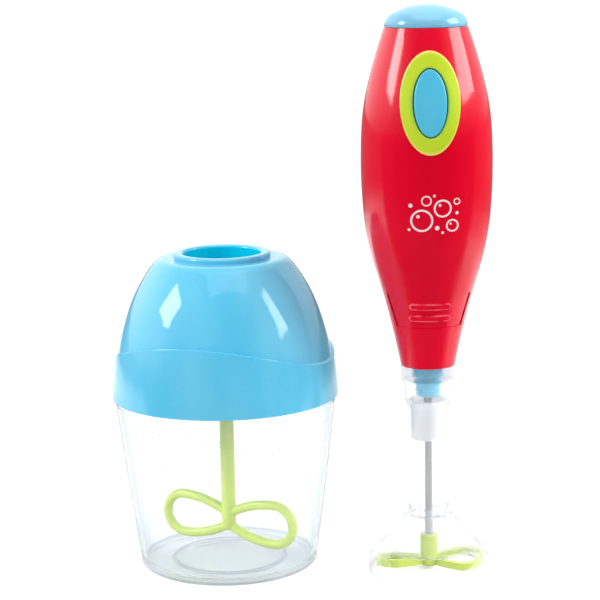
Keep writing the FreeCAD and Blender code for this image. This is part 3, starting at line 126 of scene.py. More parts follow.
class Wire:
    """An output socket; sums and products on it add Math nodes."""

    def __init__(self, socket):
        self.socket = socket

    def math(self, operation, *values):
        return add_node(self.socket.id_data, "ShaderNodeMath", dict(enumerate(values)),
                        operation=operation)

    def __add__(self, other):
        return self.math("ADD", self, other)

    def __sub__(self, other):
        return self.math("SUBTRACT", self, other)

    def __rsub__(self, other):
        return self.math("SUBTRACT", other, self)

    def __mul__(self, other):
        return self.math("MULTIPLY", self, other)

    def __abs__(self):
        return self.math("ABSOLUTE", self)

    __radd__ = __add__
    __rmul__ = __mul__

    def root(self):
        return self.math("SQRT", self)

    def larger(self, other):
        """The larger of this and another value."""
        return self.math("MAXIMUM", self, other)

    def step(self, low, high):
        """0 below low, 1 above high, smooth between."""
        return add_node(self.socket.id_data, "ShaderNodeMapRange",
                        {"Value": self, "From Min": low, "From Max": high}, "Result",
                        interpolation_type="SMOOTHSTEP")


print("a sum on a wire is a Math node")

# %% [markdown]
# ## A material while it is made
# Every finish here starts from the Principled shader and a few questions: where is this point,
# how cloudy is it here, which of two colours is it. A second class holds the material and answers
# them. Patterns are laid out on Object coordinates rather than on UV maps: a moulding's cloudiness
# goes through the plastic and needs no seams, and all pieces share one origin, so a size in
# metres is a real size.

# %% Finishes
class Finish:
    """A material while it is made, with the shader that everything feeds."""

    def __init__(self, name, **constants):
        self.material = bpy.data.materials.new(name)
        self.material.use_nodes = True
        self.tree = self.material.node_tree
        self.shader = self.tree.nodes["Principled BSDF"]
        self.output = self.tree.nodes["Material Output"]
        self.feed(**constants)

    def feed(self, **sockets):
        """Plug wires or values into the shader's sockets."""
        for socket, value in sockets.items():
            plug(self.shader.inputs[socket.replace("_", " ")], value)

    def node(self, kind, inputs=None, output=0, **settings):
        return add_node(self.tree, kind, inputs, output, **settings)

    def place(self):
        """Object coordinates, in metres, the same on every piece."""
        return self.node("ShaderNodeTexCoord", output="Object")

    def along(self, axis):
        """The place along one axis; along Z it is the height above the table."""
        return self.node("ShaderNodeSeparateXYZ", {0: self.place()}, axis)

    def length(self, vector):
        return self.node("ShaderNodeVectorMath", {0: vector}, "Value", operation="LENGTH")

    def from_axis(self):
        """The distance from the upright axis of the jar and its lid, in metres."""
        return self.length(self.node("ShaderNodeVectorMath", {0: self.place(), 1: (1.0, 1.0, 0.0)},
                                     operation="MULTIPLY"))

    def noise(self, size, detail=3.0, rough=0.5, stretch=None):
        """Cloudy noise whose blotches are about size metres across."""
        where = self.place()
        if stretch:
            where = self.node("ShaderNodeMapping", {"Vector": where, "Scale": stretch})
        return self.node("ShaderNodeTexNoise", {"Vector": where, "Scale": 1.0 / size,
                                                "Detail": detail, "Roughness": rough})

    def mix(self, amount, first, second):
        """A colour between two colours."""
        return self.node("ShaderNodeMix", {0: amount, 6: first, 7: second}, 2, data_type="RGBA")

    def bump(self, height, depth, **under):
        """A normal from a height that runs from 0 to 1 over depth metres."""
        return self.node("ShaderNodeBump", {"Height": height, "Distance": depth, **under})


print("a finish holds a material and its shader")

# %% [markdown]
# ## Colours
# A colour is easiest to pick as it shows on a screen, from 0 to 1. Screens brighten the dark tones
# and shaders don't, because they add up real light, so each colour is straightened first. Typed
# into a shader as it is, it would come out pale and washed.

# %% Colours
def rgb(*screen):
    """A colour written as it shows on a screen, turned into the linear light of shaders."""
    straight = [c / 12.92 if c <= 0.04045 else ((c + 0.055) / 1.055) ** 2.4 for c in screen]
    return (*straight, 1.0)


print("half grey on a screen is", round(rgb(0.5, 0.5, 0.5)[0], 3), "of the light")

# %% [markdown]
# ## Coloured gloss plastic
# The lid, handle, switch and cap are gloss mouldings in a toy's flat bright colours. Up close no
# moulding is one flat colour: pigment swirls a little along the way the plastic flowed, the
# polish of the mould leaves a very shallow orange-peel, and hands leave faint patches where the
# gloss is duller. Each piece could have a tree of its own, but it is one plastic, so one recipe
# makes them all, and each piece brings its two tones, its gloss and its zones of painted light.

# %% Gloss mouldings
ORANGE_PEEL = 0.000006                 # how deep, in metres
finishes = {}                          # by slot, or by piece where one wears its own


def gloss_moulding(name, colour, deep, gloss=0.07, facets=False, zones=()):
    """Toy plastic between two tones.

    facets takes the mesh's own facets as its smooth surface. Each zone is a function that says
    where, from 0 to 1, and the colour painted there; the zones here are painted light.
    """
    finish = Finish(name, IOR=1.49)
    swirl = finish.noise(0.03, detail=2.0, stretch=(1.0, 1.0, 0.35))
    grain = finish.noise(0.0016, detail=4.0)
    tint = (swirl.step(0.3, 0.75) * 0.7 + grain * 0.3).step(0.1, 0.95)
    smudge = finish.noise(0.012, detail=5.0, rough=0.62).step(0.46, 0.74)
    plastic = finish.mix(tint, colour, deep)
    for where, other in zones:
        plastic = finish.mix(where(finish), plastic, other)
    under = {"Normal": finish.node("ShaderNodeNewGeometry", output="True Normal")} if facets else {}
    finish.feed(Base_Color=plastic, Roughness=smudge * 0.06 + gloss,
                Normal=finish.bump(finish.noise(0.0022, detail=2.0), ORANGE_PEEL, **under))
    return finish.material


finishes["red_plastic"] = gloss_moulding(
    "red_plastic", rgb(0.92, 0.02, 0.18), rgb(0.875, 0.0, 0.14), gloss=0.1)
finishes["pale_lime_plastic"] = gloss_moulding(
    "pale_lime_plastic", rgb(0.715, 0.78, 0.39), rgb(0.665, 0.745, 0.32), gloss=0.3)
# painted light: the cap's paler blue is the lid's blue as it looks lit from above
finishes["top_cap"] = gloss_moulding(
    "blue_cap_painted_light", rgb(0.52, 0.775, 0.895), rgb(0.45, 0.74, 0.87))
# painted shade: a darker, greyer copy of the lid's blue for the nose inside the wand's collar
finishes["coupling_nose"] = gloss_moulding(
    "blue_nose_painted_shade", rgb(0.48, 0.75, 0.84), rgb(0.41, 0.70, 0.81), gloss=0.2)
finishes["switch_button"] = gloss_moulding(
    "blue_button", rgb(0.36, 0.78, 0.91), rgb(0.28, 0.74, 0.89), gloss=0.2, facets=True)
print(len(finishes), "plain gloss finishes")

# %% [markdown]
# ## Zones on the lid and the stirrer
# Light that falls into the dock bounces from blue wall to blue wall and comes out deeper, which a
# render with few bounces loses. The stirrer's thin loops let more light through than its stem, and
# look yellower. Both could be painted on the mesh as an attribute, but they follow plain shapes,
# so each is a small function of the place: a height and a distance from the axis.

# %% Lid and stirrer
DOCK_RADIUS, DOCK_FLOOR = 0.0178, 0.1210
LOOPS_HIGH, STEM_HIGH = 0.02, 0.075


def in_dock(finish):
    """1 on the walls and the floor of the dock."""
    inside = 1.0 - finish.from_axis().step(DOCK_RADIUS, DOCK_RADIUS + 0.0003)
    return inside * finish.along("Z").step(DOCK_FLOOR, DOCK_FLOOR + 0.0003)


def low_down(finish):
    """1 at the stirrer's loops, 0 where its stem enters the lid."""
    return 1.0 - finish.along("Z").step(LOOPS_HIGH, STEM_HIGH)


finishes["lid"] = gloss_moulding(
    "blue_lid", rgb(0.43, 0.80, 0.93), rgb(0.34, 0.76, 0.91),
    zones=[(in_dock, rgb(0.04, 0.83, 0.94))])
finishes["stirrer"] = gloss_moulding(
    "lime_stirrer", rgb(0.72, 0.78, 0.45), rgb(0.67, 0.75, 0.38), gloss=0.3,
    zones=[(low_down, rgb(0.75, 0.83, 0.39))])
print("the dock is deeper blue above", DOCK_FLOOR * 1000.0, "mm")

# %% [markdown]
# ## Zones on the bezel
# The oval bezel round the button gets a painted highlight along its outer rim, and a painted
# reflection of the button's blue along its inner edge. An oval is a circle on scaled
# coordinates: a Mapping
# node moves the middle of the bezel to the origin and makes its half width and half height 1, and
# the length of what comes out is then 1 all along the outer rim.

# %% Bezel
def across_bezel(finish):
    """0 in the middle of the switch and 1 at the outer rim of its oval bezel."""
    low, high = (Vector(corner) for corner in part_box("switch_bezel"))
    middle, half = (low + high) / 2.0, (high - low) / 2.0
    return finish.length(finish.node("ShaderNodeMapping", {
        "Vector": finish.place(),
        "Scale": (1.0 / half.x, 0.0, 1.0 / half.z),
        "Location": (-middle.x / half.x, 0.0, -middle.z / half.z)}))


# painted highlight along the outer rim of the bezel
def bezel_rim_highlight(finish):
    return across_bezel(finish).step(0.86, 0.95)


# painted reflection of the button's blue along the bezel's inner edge
def button_blue_reflection(finish):
    return 1.0 - across_bezel(finish).step(0.53, 0.70)


finishes["switch_bezel"] = gloss_moulding(
    "lime_bezel", rgb(0.81, 0.90, 0.23), rgb(0.75, 0.86, 0.18),
    zones=[(bezel_rim_highlight, rgb(0.99, 0.93, 0.48)), (button_blue_reflection, rgb(0.66, 0.83, 0.32))])
print("a pale rim and a cooler inner edge on the bezel")

# %% [markdown]
# ## Zones on the grip
# Two rounded ribs low on the front shell are where a thumb holds on, and a painted highlight runs
# along their edges, broken up by noise. The ribs' edges could be found from the sharp corners of
# the mesh, but the imported mesh has
# sharp corners elsewhere too. A rib is a bar with round ends, so the distance to its outline is
# the distance to a straight line, less the radius of the ends.

# %% Grip ribs
RIB_HEIGHTS = (0.1251, 0.1197)
RIB_STRAIGHT = 0.00765                 # half the length between the round ends
RIB_ROUND = 0.00125                    # radius of the ends, half as tall as a rib


def rib_edge_highlights(finish):
    """1 along the outlines of the two grip ribs."""
    low, high = (Vector(corner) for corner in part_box("coupling_nose"))
    middle = (low.x + high.x) / 2.0
    past_end = (abs(finish.along("X") - middle) - RIB_STRAIGHT).larger(0.0)
    outlines = []
    for rib_height in RIB_HEIGHTS:
        up = finish.along("Z") - rib_height
        away = (past_end * past_end + up * up).root() - RIB_ROUND
        outlines.append(1.0 - abs(away).step(0.0001, 0.0005))
    on_front = 1.0 - finish.along("Y").step(-0.025, -0.02)
    return sum(outlines) * on_front * finish.noise(0.004, detail=3.0).step(0.3, 0.6)


# the pale pink zone is a painted highlight along the ribs' edges
finishes["housing_front"] = gloss_moulding(
    "red_front", rgb(0.92, 0.02, 0.18), rgb(0.875, 0.0, 0.14), gloss=0.1,
    zones=[(rib_edge_highlights, rgb(1.0, 0.45, 0.52))])
print(len(RIB_HEIGHTS), "ribs with rubbed edges")

# %% [markdown]
# ## Clear plastic
# The jar, the wand and the bell guard are thick clear styrene. Light bends as it goes in and out,
# so the edges go grey while the broad walls almost vanish. Glass-like refraction gives that. The
# real index of 1.59 draws black lines at each thick corner when light may bounce only a few
# times, and a low one keeps them a soft grey. Shadow rays pass straight through, because bent
# light is not traced to the lamps. So does a share of the rest, low in the jar, where the plastic
# is thick, and all over the wand.

# %% Clear mouldings
def see_through(finish, share, tint):
    """That share of the light, and all light on its way from a lamp, goes straight through."""
    from_lamp = finish.node("ShaderNodeLightPath", output="Is Shadow Ray")
    mixed = finish.node("ShaderNodeMixShader", {
        0: from_lamp.larger(share),
        1: Wire(finish.shader.outputs[0]),
        2: finish.node("ShaderNodeBsdfTransparent", {"Color": (*tint, 1.0)})})
    plug(finish.output.inputs["Surface"], mixed)


def clear_moulding(name, index, transmission, share, below, tint):
    """Clear plastic with a faint film of handling marks; the share is for what is below.

    Returns the finish, the roughness of its film and the height above the table.
    """
    finish = Finish(name, IOR=index, Transmission_Weight=transmission)
    film = finish.noise(0.02, detail=5.0, rough=0.6).step(0.4, 0.8)
    height = finish.along("Z")
    finish.feed(Normal=finish.bump(finish.noise(0.02, detail=1.0), 0.000004))
    see_through(finish, (1.0 - height.step(below, below + 0.001)) * share, tint)
    return finish, film * 0.02 + 0.01, height


print("clear walls let shadows through")

# %% [markdown]
# ## The jar
# A jar that stands on kitchen tables has a scuffed base, whose grey is partly painted shade of the
# thick base, and small bubbles and dust specks sit in its wall. The specks come from Voronoi
# cells, which give scattered dots where noise would give
# clouds. The foot's outer edge and the ring groove under the jar bend light away from the eye
# altogether. A low index can't do that, so those two get their grey from their colour.

# %% Jar
FOOT_RADIUS, RING_RADIUS = 0.038, 0.026
BASE_TOP = 0.0035
SPECKS_PER_METRE = 400.0

jar, dulled, height = clear_moulding("clear_plastic", index=1.17, transmission=0.96, share=0.35,
                                     below=0.0045, tint=(0.955, 0.965, 0.97))
# the walls are a little greyer towards the bottom
greyer_low = 1.0 - height.step(0.0, 0.05)
# painted shade: the walls go grey where their surface is seen edge-on
grazing_shade = jar.node("ShaderNodeLayerWeight", {"Blend": 0.5}, "Facing").step(0.3, 1.0)
# the base's grey is partly scuffing and partly painted shade
scuffed_and_shaded = 1.0 - height.step(BASE_TOP - 0.002, BASE_TOP)
from_axis = jar.from_axis()
edge_band = height.step(0.0003, 0.0008) * (1.0 - height.step(0.0017, 0.0024))
edge = edge_band * from_axis.step(FOOT_RADIUS - 0.001, FOOT_RADIUS)
from_ring = abs(from_axis - RING_RADIUS)
groove = (1.0 - height.step(0.0013, 0.0018)) * (1.0 - from_ring.step(0.0008, 0.0013))
dust = jar.node("ShaderNodeTexVoronoi", {"Vector": jar.place(), "Scale": SPECKS_PER_METRE})
patches = jar.noise(0.02, detail=2.0).step(0.45, 0.55) * height.step(0.02, 0.06)
speck = (1.0 - dust.step(0.11, 0.19)) * patches

wall = jar.mix(greyer_low, rgb(0.99, 0.992, 0.995), rgb(0.965, 0.975, 0.98))
wall = jar.mix(grazing_shade, wall, rgb(0.80, 0.85, 0.87))
wall = jar.mix(scuffed_and_shaded, wall, rgb(0.84, 0.86, 0.87))
wall = jar.mix(edge.larger(groove), wall, rgb(0.48, 0.53, 0.57))
jar.feed(Base_Color=jar.mix(speck, wall, rgb(0.58, 0.60, 0.62)),
         Roughness=dulled + speck * 0.3 + scuffed_and_shaded * 0.12)
finishes["clear_plastic"] = jar.material
print("scuffed up to", BASE_TOP * 1000.0, "mm, specks from 20 mm up")

# %% [markdown]
# ## The wand and the frosted bush
# The wand and its bell guard are thinner than the jar, so they get a lower index still, and almost
# half of the light goes straight through. The collar that grips the handle is satin, and the lip
# that the guard stands on is rubbed. The bush in the wand is milky: it could be lit from within
# by subsurface scattering, but refraction through a rough surface is faster and lets the shaft
# behind it show as a blur.

# %% Wand and bush
COLLAR_LOW = 0.0880
WHOLE_WAND = 0.2                       # a height above all of it

wand, dulled, height = clear_moulding("clear_wand", index=1.1, transmission=0.93, share=0.45,
                                      below=WHOLE_WAND, tint=(0.97, 0.975, 0.98))
collar = height.step(COLLAR_LOW, COLLAR_LOW + 0.0006)
rubbed = wand.noise(0.004, detail=4.0).step(0.5, 0.75) * (1.0 - height.step(0.001, 0.006))
wall = wand.mix(collar, rgb(0.99, 0.992, 0.995), rgb(0.875, 0.88, 0.90))
wand.feed(Base_Color=wand.mix(rubbed, wall, rgb(0.93, 0.94, 0.95)),
          Roughness=dulled + collar * 0.08 + rubbed * 0.15)
finishes["wand_tube"] = finishes["blade_guard"] = wand.material

frosted = Finish("frosted_plastic", IOR=1.2, Transmission_Weight=0.6)
cloud = frosted.noise(0.004, detail=4.0)
frosted.feed(Base_Color=frosted.mix(cloud, rgb(0.955, 0.96, 0.965), rgb(0.93, 0.935, 0.94)),
             Roughness=cloud * 0.15 + 0.28,
             Normal=frosted.bump(frosted.noise(0.0006, detail=3.0), 0.00001))
see_through(frosted, 0.1, (0.985, 0.99, 0.995))
finishes["frosted_plastic"] = frosted.material
print("the wand's collar is satin above", COLLAR_LOW * 1000.0, "mm")

# %% [markdown]
# ## Matt plastic
# Couplings, gears and the motor's holder are self-lubricating plastic, waxy and a little matt;
# the battery tray and switch carrier are black, with the fine spark-eroded grain of a mould that
# nobody polished. Both could have their grain in the mesh, but it is far finer than any facet, so
# one recipe draws it as bump and lets it carry the roughness too.

# %% Matt mouldings
def matt_moulding(name, colour, deep, roughness, grain_size, depth):
    """Plastic whose fine grain carries its colour, its roughness and its relief."""
    finish = Finish(name, IOR=1.5)
    cloud = finish.noise(0.006, detail=3.0)
    grain = finish.noise(grain_size, detail=2.0, rough=0.6)
    finish.feed(Base_Color=finish.mix(cloud * 0.6 + grain * 0.4, colour, deep),
                Roughness=grain * 0.15 + roughness,
                Normal=finish.bump(grain, depth))
    return finish.material


finishes["white_plastic"] = matt_moulding(
    "white_plastic", rgb(0.93, 0.93, 0.91), rgb(0.86, 0.86, 0.84),
    roughness=0.36, grain_size=0.0005, depth=0.000006)
finishes["black_plastic"] = matt_moulding(
    "black_plastic", rgb(0.10, 0.10, 0.11), rgb(0.06, 0.06, 0.065),
    roughness=0.45, grain_size=0.0003, depth=0.000012)
print("white and black mouldings")

# %% [markdown]
# ## Metals
# The shaft and screws are drawn steel, with fine lines along the wire. Anisotropic gloss could
# show them, but only as one even sheen, so they are noise that is stretched along Z. The motor's
# can is pressed and plated, with a soft mottle, and the contact strips are plated brass. A metal's
# look is all reflection, so roughness carries the detail.

# %% Metals
def metal(name, colour, dull, roughness, lines, depth):
    """Metal with drawn lines, which run along the axis where lines has a small number."""
    finish = Finish(name, Metallic=1.0)
    drawn = finish.noise(0.0004, detail=3.0, stretch=lines)
    mottle = finish.noise(0.003, detail=4.0)
    finish.feed(Base_Color=finish.mix(mottle * 0.5 + drawn * 0.5, colour, dull),
                Roughness=drawn * 0.14 + mottle * 0.08 + roughness,
                Normal=finish.bump(drawn, depth))
    return finish.material


finishes["steel"] = metal(
    "steel", rgb(0.74, 0.74, 0.745), rgb(0.63, 0.63, 0.635),
    roughness=0.2, lines=(1.0, 1.0, 0.04), depth=0.000002)
finishes["motor_steel"] = metal(
    "motor_steel", rgb(0.80, 0.80, 0.80), rgb(0.66, 0.66, 0.67),
    roughness=0.28, lines=(1.0, 1.0, 1.0), depth=0.000003)
finishes["plated_strip"] = metal(
    "plated_strip", rgb(0.90, 0.80, 0.55), rgb(0.78, 0.66, 0.40),
    roughness=0.25, lines=(1.0, 1.0, 0.08), depth=0.000002)
print("three metals")

# %% [markdown]
# ## Battery cells
# Each cell wears a shrunk plastic sleeve: silver, with one broad dark band at the negative end
# and bare metal where the contacts press. The bands could be rings of geometry, but a sleeve's
# print has no thickness, so they are masks. They follow the height, because both cells stand
# upright, the left one with its cap up and the right one with its cap down.

# %% Cell sleeve
CELLS_MEET = 0.0919                    # across
BAND_ENDS = 0.0335                     # up from the negative end, as are the next two
SLEEVE_STARTS, SLEEVE_ENDS = 0.0007, 0.0487

sleeve = Finish("cell_sleeve", IOR=1.5)
cell_low, cell_high = (corner[2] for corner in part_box("aa_cell_left"))
up = sleeve.along("Z")
right_cell = sleeve.along("X").step(CELLS_MEET, CELLS_MEET + 0.0003)
from_minus = right_cell * (cell_high - up) + (1.0 - right_cell) * (up - cell_low)
dark_band = 1.0 - from_minus.step(BAND_ENDS, BAND_ENDS + 0.0002)
sleeved = (from_minus.step(SLEEVE_STARTS, SLEEVE_STARTS + 0.0001)
           * (1.0 - from_minus.step(SLEEVE_ENDS, SLEEVE_ENDS + 0.0002)))
shimmer = sleeve.noise(0.0006, detail=3.0, stretch=(1.0, 1.0, 0.1))
silver = sleeve.mix(shimmer, rgb(0.72, 0.74, 0.77), rgb(0.58, 0.60, 0.64))
charcoal = sleeve.mix(shimmer, rgb(0.16, 0.17, 0.19), rgb(0.12, 0.12, 0.14))
bare = sleeve.mix(shimmer, rgb(0.80, 0.80, 0.80), rgb(0.66, 0.66, 0.67))
sleeve.feed(Base_Color=sleeve.mix(sleeved, bare, sleeve.mix(dark_band, silver, charcoal)),
            Metallic=1.0 - sleeved * (dark_band * 0.6 + 0.4),
            Roughness=shimmer * 0.1 + 0.22,
            Normal=sleeve.bump(shimmer, 0.000004))
finishes["cell_sleeve"] = sleeve.material
print("cells from", round(cell_low * 1000.0, 1), "to", round(cell_high * 1000.0, 1), "mm up")

# %% [markdown]
# ## Dress the CAD pieces
# The record of the model says which finish each piece is moulded from. Materials could be set by
# hand, piece by piece, but a loop over the record forgets none: a piece wears the finish made
# under its own name if there is one, and the finish of its slot if not.

# %% Dress
slots = {row["node"]: row["material_slot"] for row in frame["record"]["subparts"]}
for name, slot_name in slots.items():
    for slot in nodes[name].material_slots:
        slot.material = finishes[name if name in finishes else slot_name]
print("dressed", len(slots), "pieces in", len(set(finishes.values())), "finishes")

# %% [markdown]
# ## The switch's spring
# A pressed button squeezes its spring. Left as a rigid piece of the handle, the spring would stick
# through the button, and a shape key would need every turn of the wire moved by hand. A copy
# therefore stands in for the CAD piece, attached to the handle with a mesh of its own.


def stand_in(node, data):
    """A piece made from a node's mesh, shown in its place."""
    copy = bpy.data.objects.new(node + "_soft", data)
    bpy.context.scene.collection.objects.link(copy)
    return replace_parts(copy, node)


spring = stand_in("button_spring", nodes["button_spring"].data.copy())
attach(spring, "handle")
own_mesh(spring)

# %% [markdown]
# ## The switch's leaf
# The button's stem bends the longer of the two contact leaves towards the other. It could turn on
# a hinge, but a leaf is clamped at its foot and has none, so the higher a point of it is, the more
# it moves with the button. A mesh bends only where it has corners, and the imported strip has few,
# so it is cut across into short lengths, and the cut strip stands in for the CAD piece.

# %% Leaf
LENGTHS = 16

foot, tip = (corner[2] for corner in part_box("switch_leaf_moving"))
strip = bmesh.new()
strip.from_mesh(nodes["switch_leaf_moving"].data)
for cut in range(1, LENGTHS):
    bmesh.ops.bisect_plane(strip, geom=strip.verts[:] + strip.edges[:] + strip.faces[:],
                           plane_co=(0.0, 0.0, foot + (tip - foot) * cut / LENGTHS),
                           plane_no=(0.0, 0.0, 1.0))
for face in strip.faces:
    face.smooth = False
leaf_data = nodes["switch_leaf_moving"].data.copy()
strip.to_mesh(leaf_data)
strip.free()
leaf = stand_in("switch_leaf_moving", leaf_data)
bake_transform(leaf)
print("the leaf bends in", LENGTHS, "lengths")

# %% [markdown]
# ## A print of bubbles
# The front of the handle carries a small white pad print: ink a few hundredths of a millimetre
# thick that follows the curve. It could be a mask in the red material, but a print has an edge
# that catches light, so it is thin geometry. It starts flat, in front of the handle: a circle is
# one operator, and an inset of its face leaves a ring once the middle is deleted.

# %% Flat bubbles
PRINT_X, PRINT_Z = 0.0935, 0.1675      # the middle of the print
IN_FRONT = -0.1                        # where the circles are cut, in front of the handle
# in millimetres from the middle of the print: sideways, up, radius and, for a ring, its line
rings = [(-5.6, -2.6, 4.9, 0.85), (3.4, 2.6, 3.9, 0.8), (7.6, -5.0, 2.8, 0.7),
         (-3.6, 6.0, 2.3, 0.6), (9.6, 5.4, 1.5, 0.5)]
dots = [(1.0, -5.9, 1.0), (-10.4, 4.0, 0.9), (-0.2, 8.2, 0.6), (3.4, -8.0, 0.6),
        (-11.0, -6.6, 0.6), (9.6, 0.4, 0.7), (-7.2, -0.8, 0.75), (2.2, 4.0, 0.6),
        (6.8, -4.2, 0.45)]


def flat_circle(target, x, z, radius, segments):
    """A disc that faces the front, placed in millimetres from the middle of the print."""
    spot = Matrix.Translation((PRINT_X + x / 1000.0, IN_FRONT, PRINT_Z + z / 1000.0))
    made = bmesh.ops.create_circle(target, cap_ends=True, segments=segments,
                                   radius=radius / 1000.0,
                                   matrix=spot @ Matrix.Rotation(math.radians(90.0), 4, "X"))
    return made["verts"][0].link_faces[0]


ink = bmesh.new()
for x, z, radius, line in rings:
    disc = flat_circle(ink, x, z, radius, 56)
    bmesh.ops.inset_individual(ink, faces=[disc], thickness=line / 1000.0)
    bmesh.ops.delete(ink, geom=[disc], context="FACES_ONLY")
for x, z, radius in dots:
    flat_circle(ink, x, z, radius, 24)
print(len(rings), "rings and", len(dots), "dots cut flat")

# %% [markdown]
# ## The print on the handle
# A printing pad presses straight onto the handle, so the bubbles keep their shape when they are
# seen from the front. A Shrinkwrap modifier could project them, but then the print would hang on
# the handle's mesh for good. Here each point is dropped once, along the pad's line, with a ray
# cast, and Solidify then gives the ink its thickness.

# %% Onto the handle
INK = 0.00006

shell = BVHTree.FromObject(nodes["housing_front"], bpy.context.evaluated_depsgraph_get())
for vert in ink.verts:
    spot, outward, _, _ = shell.ray_cast(vert.co, Vector((0.0, 1.0, 0.0)))
    vert.co = spot + outward * INK * 0.7
bmesh.ops.recalc_face_normals(ink, faces=ink.faces)
if sum(face.normal.y * face.calc_area() for face in ink.faces) > 0.0:
    bmesh.ops.reverse_faces(ink, faces=ink.faces)
print_data = bpy.data.meshes.new("bubble_print")
ink.to_mesh(print_data)
ink.free()
bubble_print = bpy.data.objects.new("bubble_print", print_data)
bpy.context.scene.collection.objects.link(bubble_print)
thickness = bubble_print.modifiers.new("ink", "SOLIDIFY")
thickness.thickness = INK
thickness.offset = -1.0
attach(bubble_print, "handle")
print("printed", len(print_data.polygons), "faces of ink")

# %% [markdown]
# ## White ink
# Printed ink is a thin, slightly chalky coat, and the red shows through where it has worn. The
# wear is fine, hard noise that turns the ink pink and duller, which reads as missing ink without
# holes in the mesh.

# %% Ink
white_ink = Finish("white_ink", IOR=1.48)
worn = white_ink.noise(0.0011, detail=5.0, rough=0.7).step(0.58, 0.8)
white_ink.feed(Base_Color=white_ink.mix(worn, rgb(0.97, 0.915, 0.93), rgb(0.95, 0.72, 0.76)),
               Roughness=worn * 0.2 + 0.3,
               Normal=white_ink.bump(white_ink.noise(0.0004, detail=3.0), 0.000004))
print_data.materials.append(white_ink.material)
print("white ink, worn to pink in places")

# %% [markdown]
# ## The room
# Gloss plastic shows what is round it, so the room matters as much as the lamps. An all-white
# room would wash the red out to pink, and walls of real geometry would shade the set. So the
# world asks what kind of ray arrives: the camera, and light that comes through the clear pieces,
# find white everywhere, while a mirrored ray finds a dim room with a bright ceiling, pale sides
# and a pale wall to the left, each of them a smooth step in the ray's direction.

# %% World
FILL = 0.68              # the even light of the room on the set


def rays(tree):
    """Two wires: 1 for rays that look straight or through clear plastic; 1 for mirrored rays."""
    straight, glossy, through = (add_node(tree, "ShaderNodeLightPath", output=name) for name in
                                 ("Is Camera Ray", "Is Glossy Ray", "Is Transmission Ray"))
    looked = straight.larger(through)
    return looked, glossy * (1.0 - looked)


world = bpy.data.worlds.new("studio")
world.use_nodes = True
bpy.context.scene.world = world
sky = world.node_tree
looked, mirrored = rays(sky)
way = add_node(sky, "ShaderNodeTexCoord", output="Generated")
x, y, z = (add_node(sky, "ShaderNodeSeparateXYZ", {0: way}, axis) for axis in "XYZ")
overhead = (z + y * 0.6).step(-0.1, 0.9)
beside = abs(x).step(0.4, 0.97) * z.step(-0.1, 0.3)
behind = y.step(0.1, 0.8)
left_wall = (y - x).step(0.3, 1.3) * z.step(-0.15, 0.1)
in_mirror = overhead * 0.5 + beside * 0.8 + behind * 0.35 + left_wall * 0.65 + 0.06
sky.nodes["Background"].inputs["Color"].default_value = (1.0, 1.0, 1.0, 1.0)
plug(sky.nodes["Background"].inputs["Strength"],
     looked * (1.0 - FILL) + mirrored * (in_mirror - FILL) + FILL)
print("the room gives", FILL, "of white")

# %% [markdown]
# ## The floor
# The set stands on a round sheet of white paper, which holds its shadow, and beyond the paper the
# floor is dim: an upright wall mirrors the floor far in front of it, and white there would lay a
# veil over the gloss. Only a ring of floor at the back, brighter to the left, glows in mirrored
# rays, and gives the walls a pale edge. What the camera and the mirrored rays find is an emission
# colour that no other ray sees, so neither sheds light on the set.

# %% Floor
PAPER_ENDS, DIM_FROM = 0.36, 0.6       # distances from the jar's axis
BELOW_SET = 0.0003                     # the floor clears the feet by this much

floor_mesh = bmesh.new()
bmesh.ops.create_grid(floor_mesh, x_segments=1, y_segments=1, size=14.0)
bmesh.ops.translate(floor_mesh, verts=floor_mesh.verts, vec=(0.0, 0.0, -BELOW_SET))
floor_data = bpy.data.meshes.new("floor")
floor_mesh.to_mesh(floor_data)
floor_mesh.free()
floor = bpy.data.objects.new("floor", floor_data)
bpy.context.scene.collection.objects.link(floor)

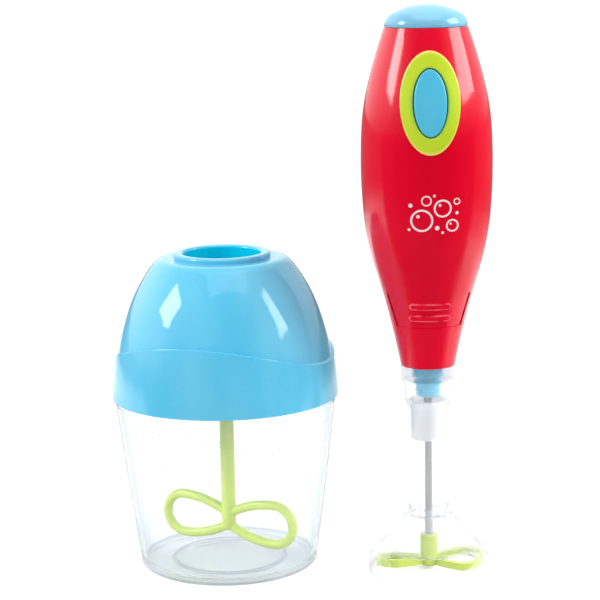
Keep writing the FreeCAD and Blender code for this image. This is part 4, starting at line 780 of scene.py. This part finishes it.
ground = Finish("floor_white", Roughness=0.6, Specular_IOR_Level=0.1, Emission_Strength=1.0)
looked, mirrored = rays(ground.tree)
across, along, distance = ground.along("X"), ground.along("Y"), ground.from_axis()
beyond = distance.step(PAPER_ENDS, DIM_FROM)
back = along.step(-0.13, -0.03)
paper = ground.mix(ground.noise(0.05, detail=4.0) * 0.1,
                   rgb(0.88, 0.88, 0.88), rgb(0.85, 0.85, 0.85))
ring = distance.step(0.30, 0.50) * (1.0 - distance.step(0.50, 1.0))
left = (along - across).step(0.1, 0.9)
dim = beyond.larger((1.0 - back) * mirrored)
ground.feed(Base_Color=ground.mix(dim, paper, rgb(0.2, 0.2, 0.2)),
            Emission_Color=((beyond * 0.65 + 0.35) * looked
                            + (ring * (left + 0.6) + 0.12) * back * mirrored))
floor_data.materials.append(ground.material)
print("white paper out to", PAPER_ENDS, "m")

# %% [markdown]
# ## The lamps
# Two softboxes left and right draw the crisp window-shaped lights of gloss plastic, and a big dim
# one above opens the shadows. They could be glowing panels, but area lamps give less noise for
# the same time. A softbox is mirrored at its own angle, so the left one is turned to show as a
# diamond on the dome. The last lamp only fills the right side: it is hidden from mirrored rays,
# because a fourth window on the plastic would look wrong.

# %% Lamps
MIDDLE_OF_SET = Vector((0.04, -0.01, 0.12))


def softbox(name, azimuth, height, distance, width, tall, watts, turned=0.0):
    """A rectangle of light that faces the middle of the set; azimuth 0 is the camera's side."""
    light = bpy.data.lights.new(name, "AREA")
    light.shape = "RECTANGLE"
    light.size = width
    light.size_y = tall
    light.energy = watts
    lamp = bpy.data.objects.new(name, light)
    turn, rise = math.radians(azimuth), math.radians(height)
    away = Vector((math.sin(turn) * math.cos(rise), -math.cos(turn) * math.cos(rise),
                   math.sin(rise)))
    lamp.location = MIDDLE_OF_SET + away * distance
    lamp.rotation_mode = "QUATERNION"
    lamp.rotation_quaternion = (away.to_track_quat("Z", "Y")
                                @ Quaternion((0.0, 0.0, 1.0), math.radians(turned)))
    bpy.context.scene.collection.objects.link(lamp)
    return lamp


softbox("softbox_left", azimuth=-76.0, height=29.0, distance=1.0,
        width=0.34, tall=0.34, watts=4.1, turned=-17.0)
softbox("softbox_right", azimuth=84.0, height=30.0, distance=1.0,
        width=0.56, tall=0.50, watts=6.4)
softbox("softbox_above", azimuth=10.0, height=75.0, distance=1.2,
        width=1.0, tall=1.0, watts=4.2)
side_fill = softbox("side_fill", azimuth=62.0, height=30.0, distance=1.2,
                    width=1.0, tall=1.0, watts=0.8)
side_fill.visible_glossy = False
print(len(bpy.data.lights), "lamps")

# %% [markdown]
# ## Done
# The last cell prints that the script is done.

# %% Finish
print("done")
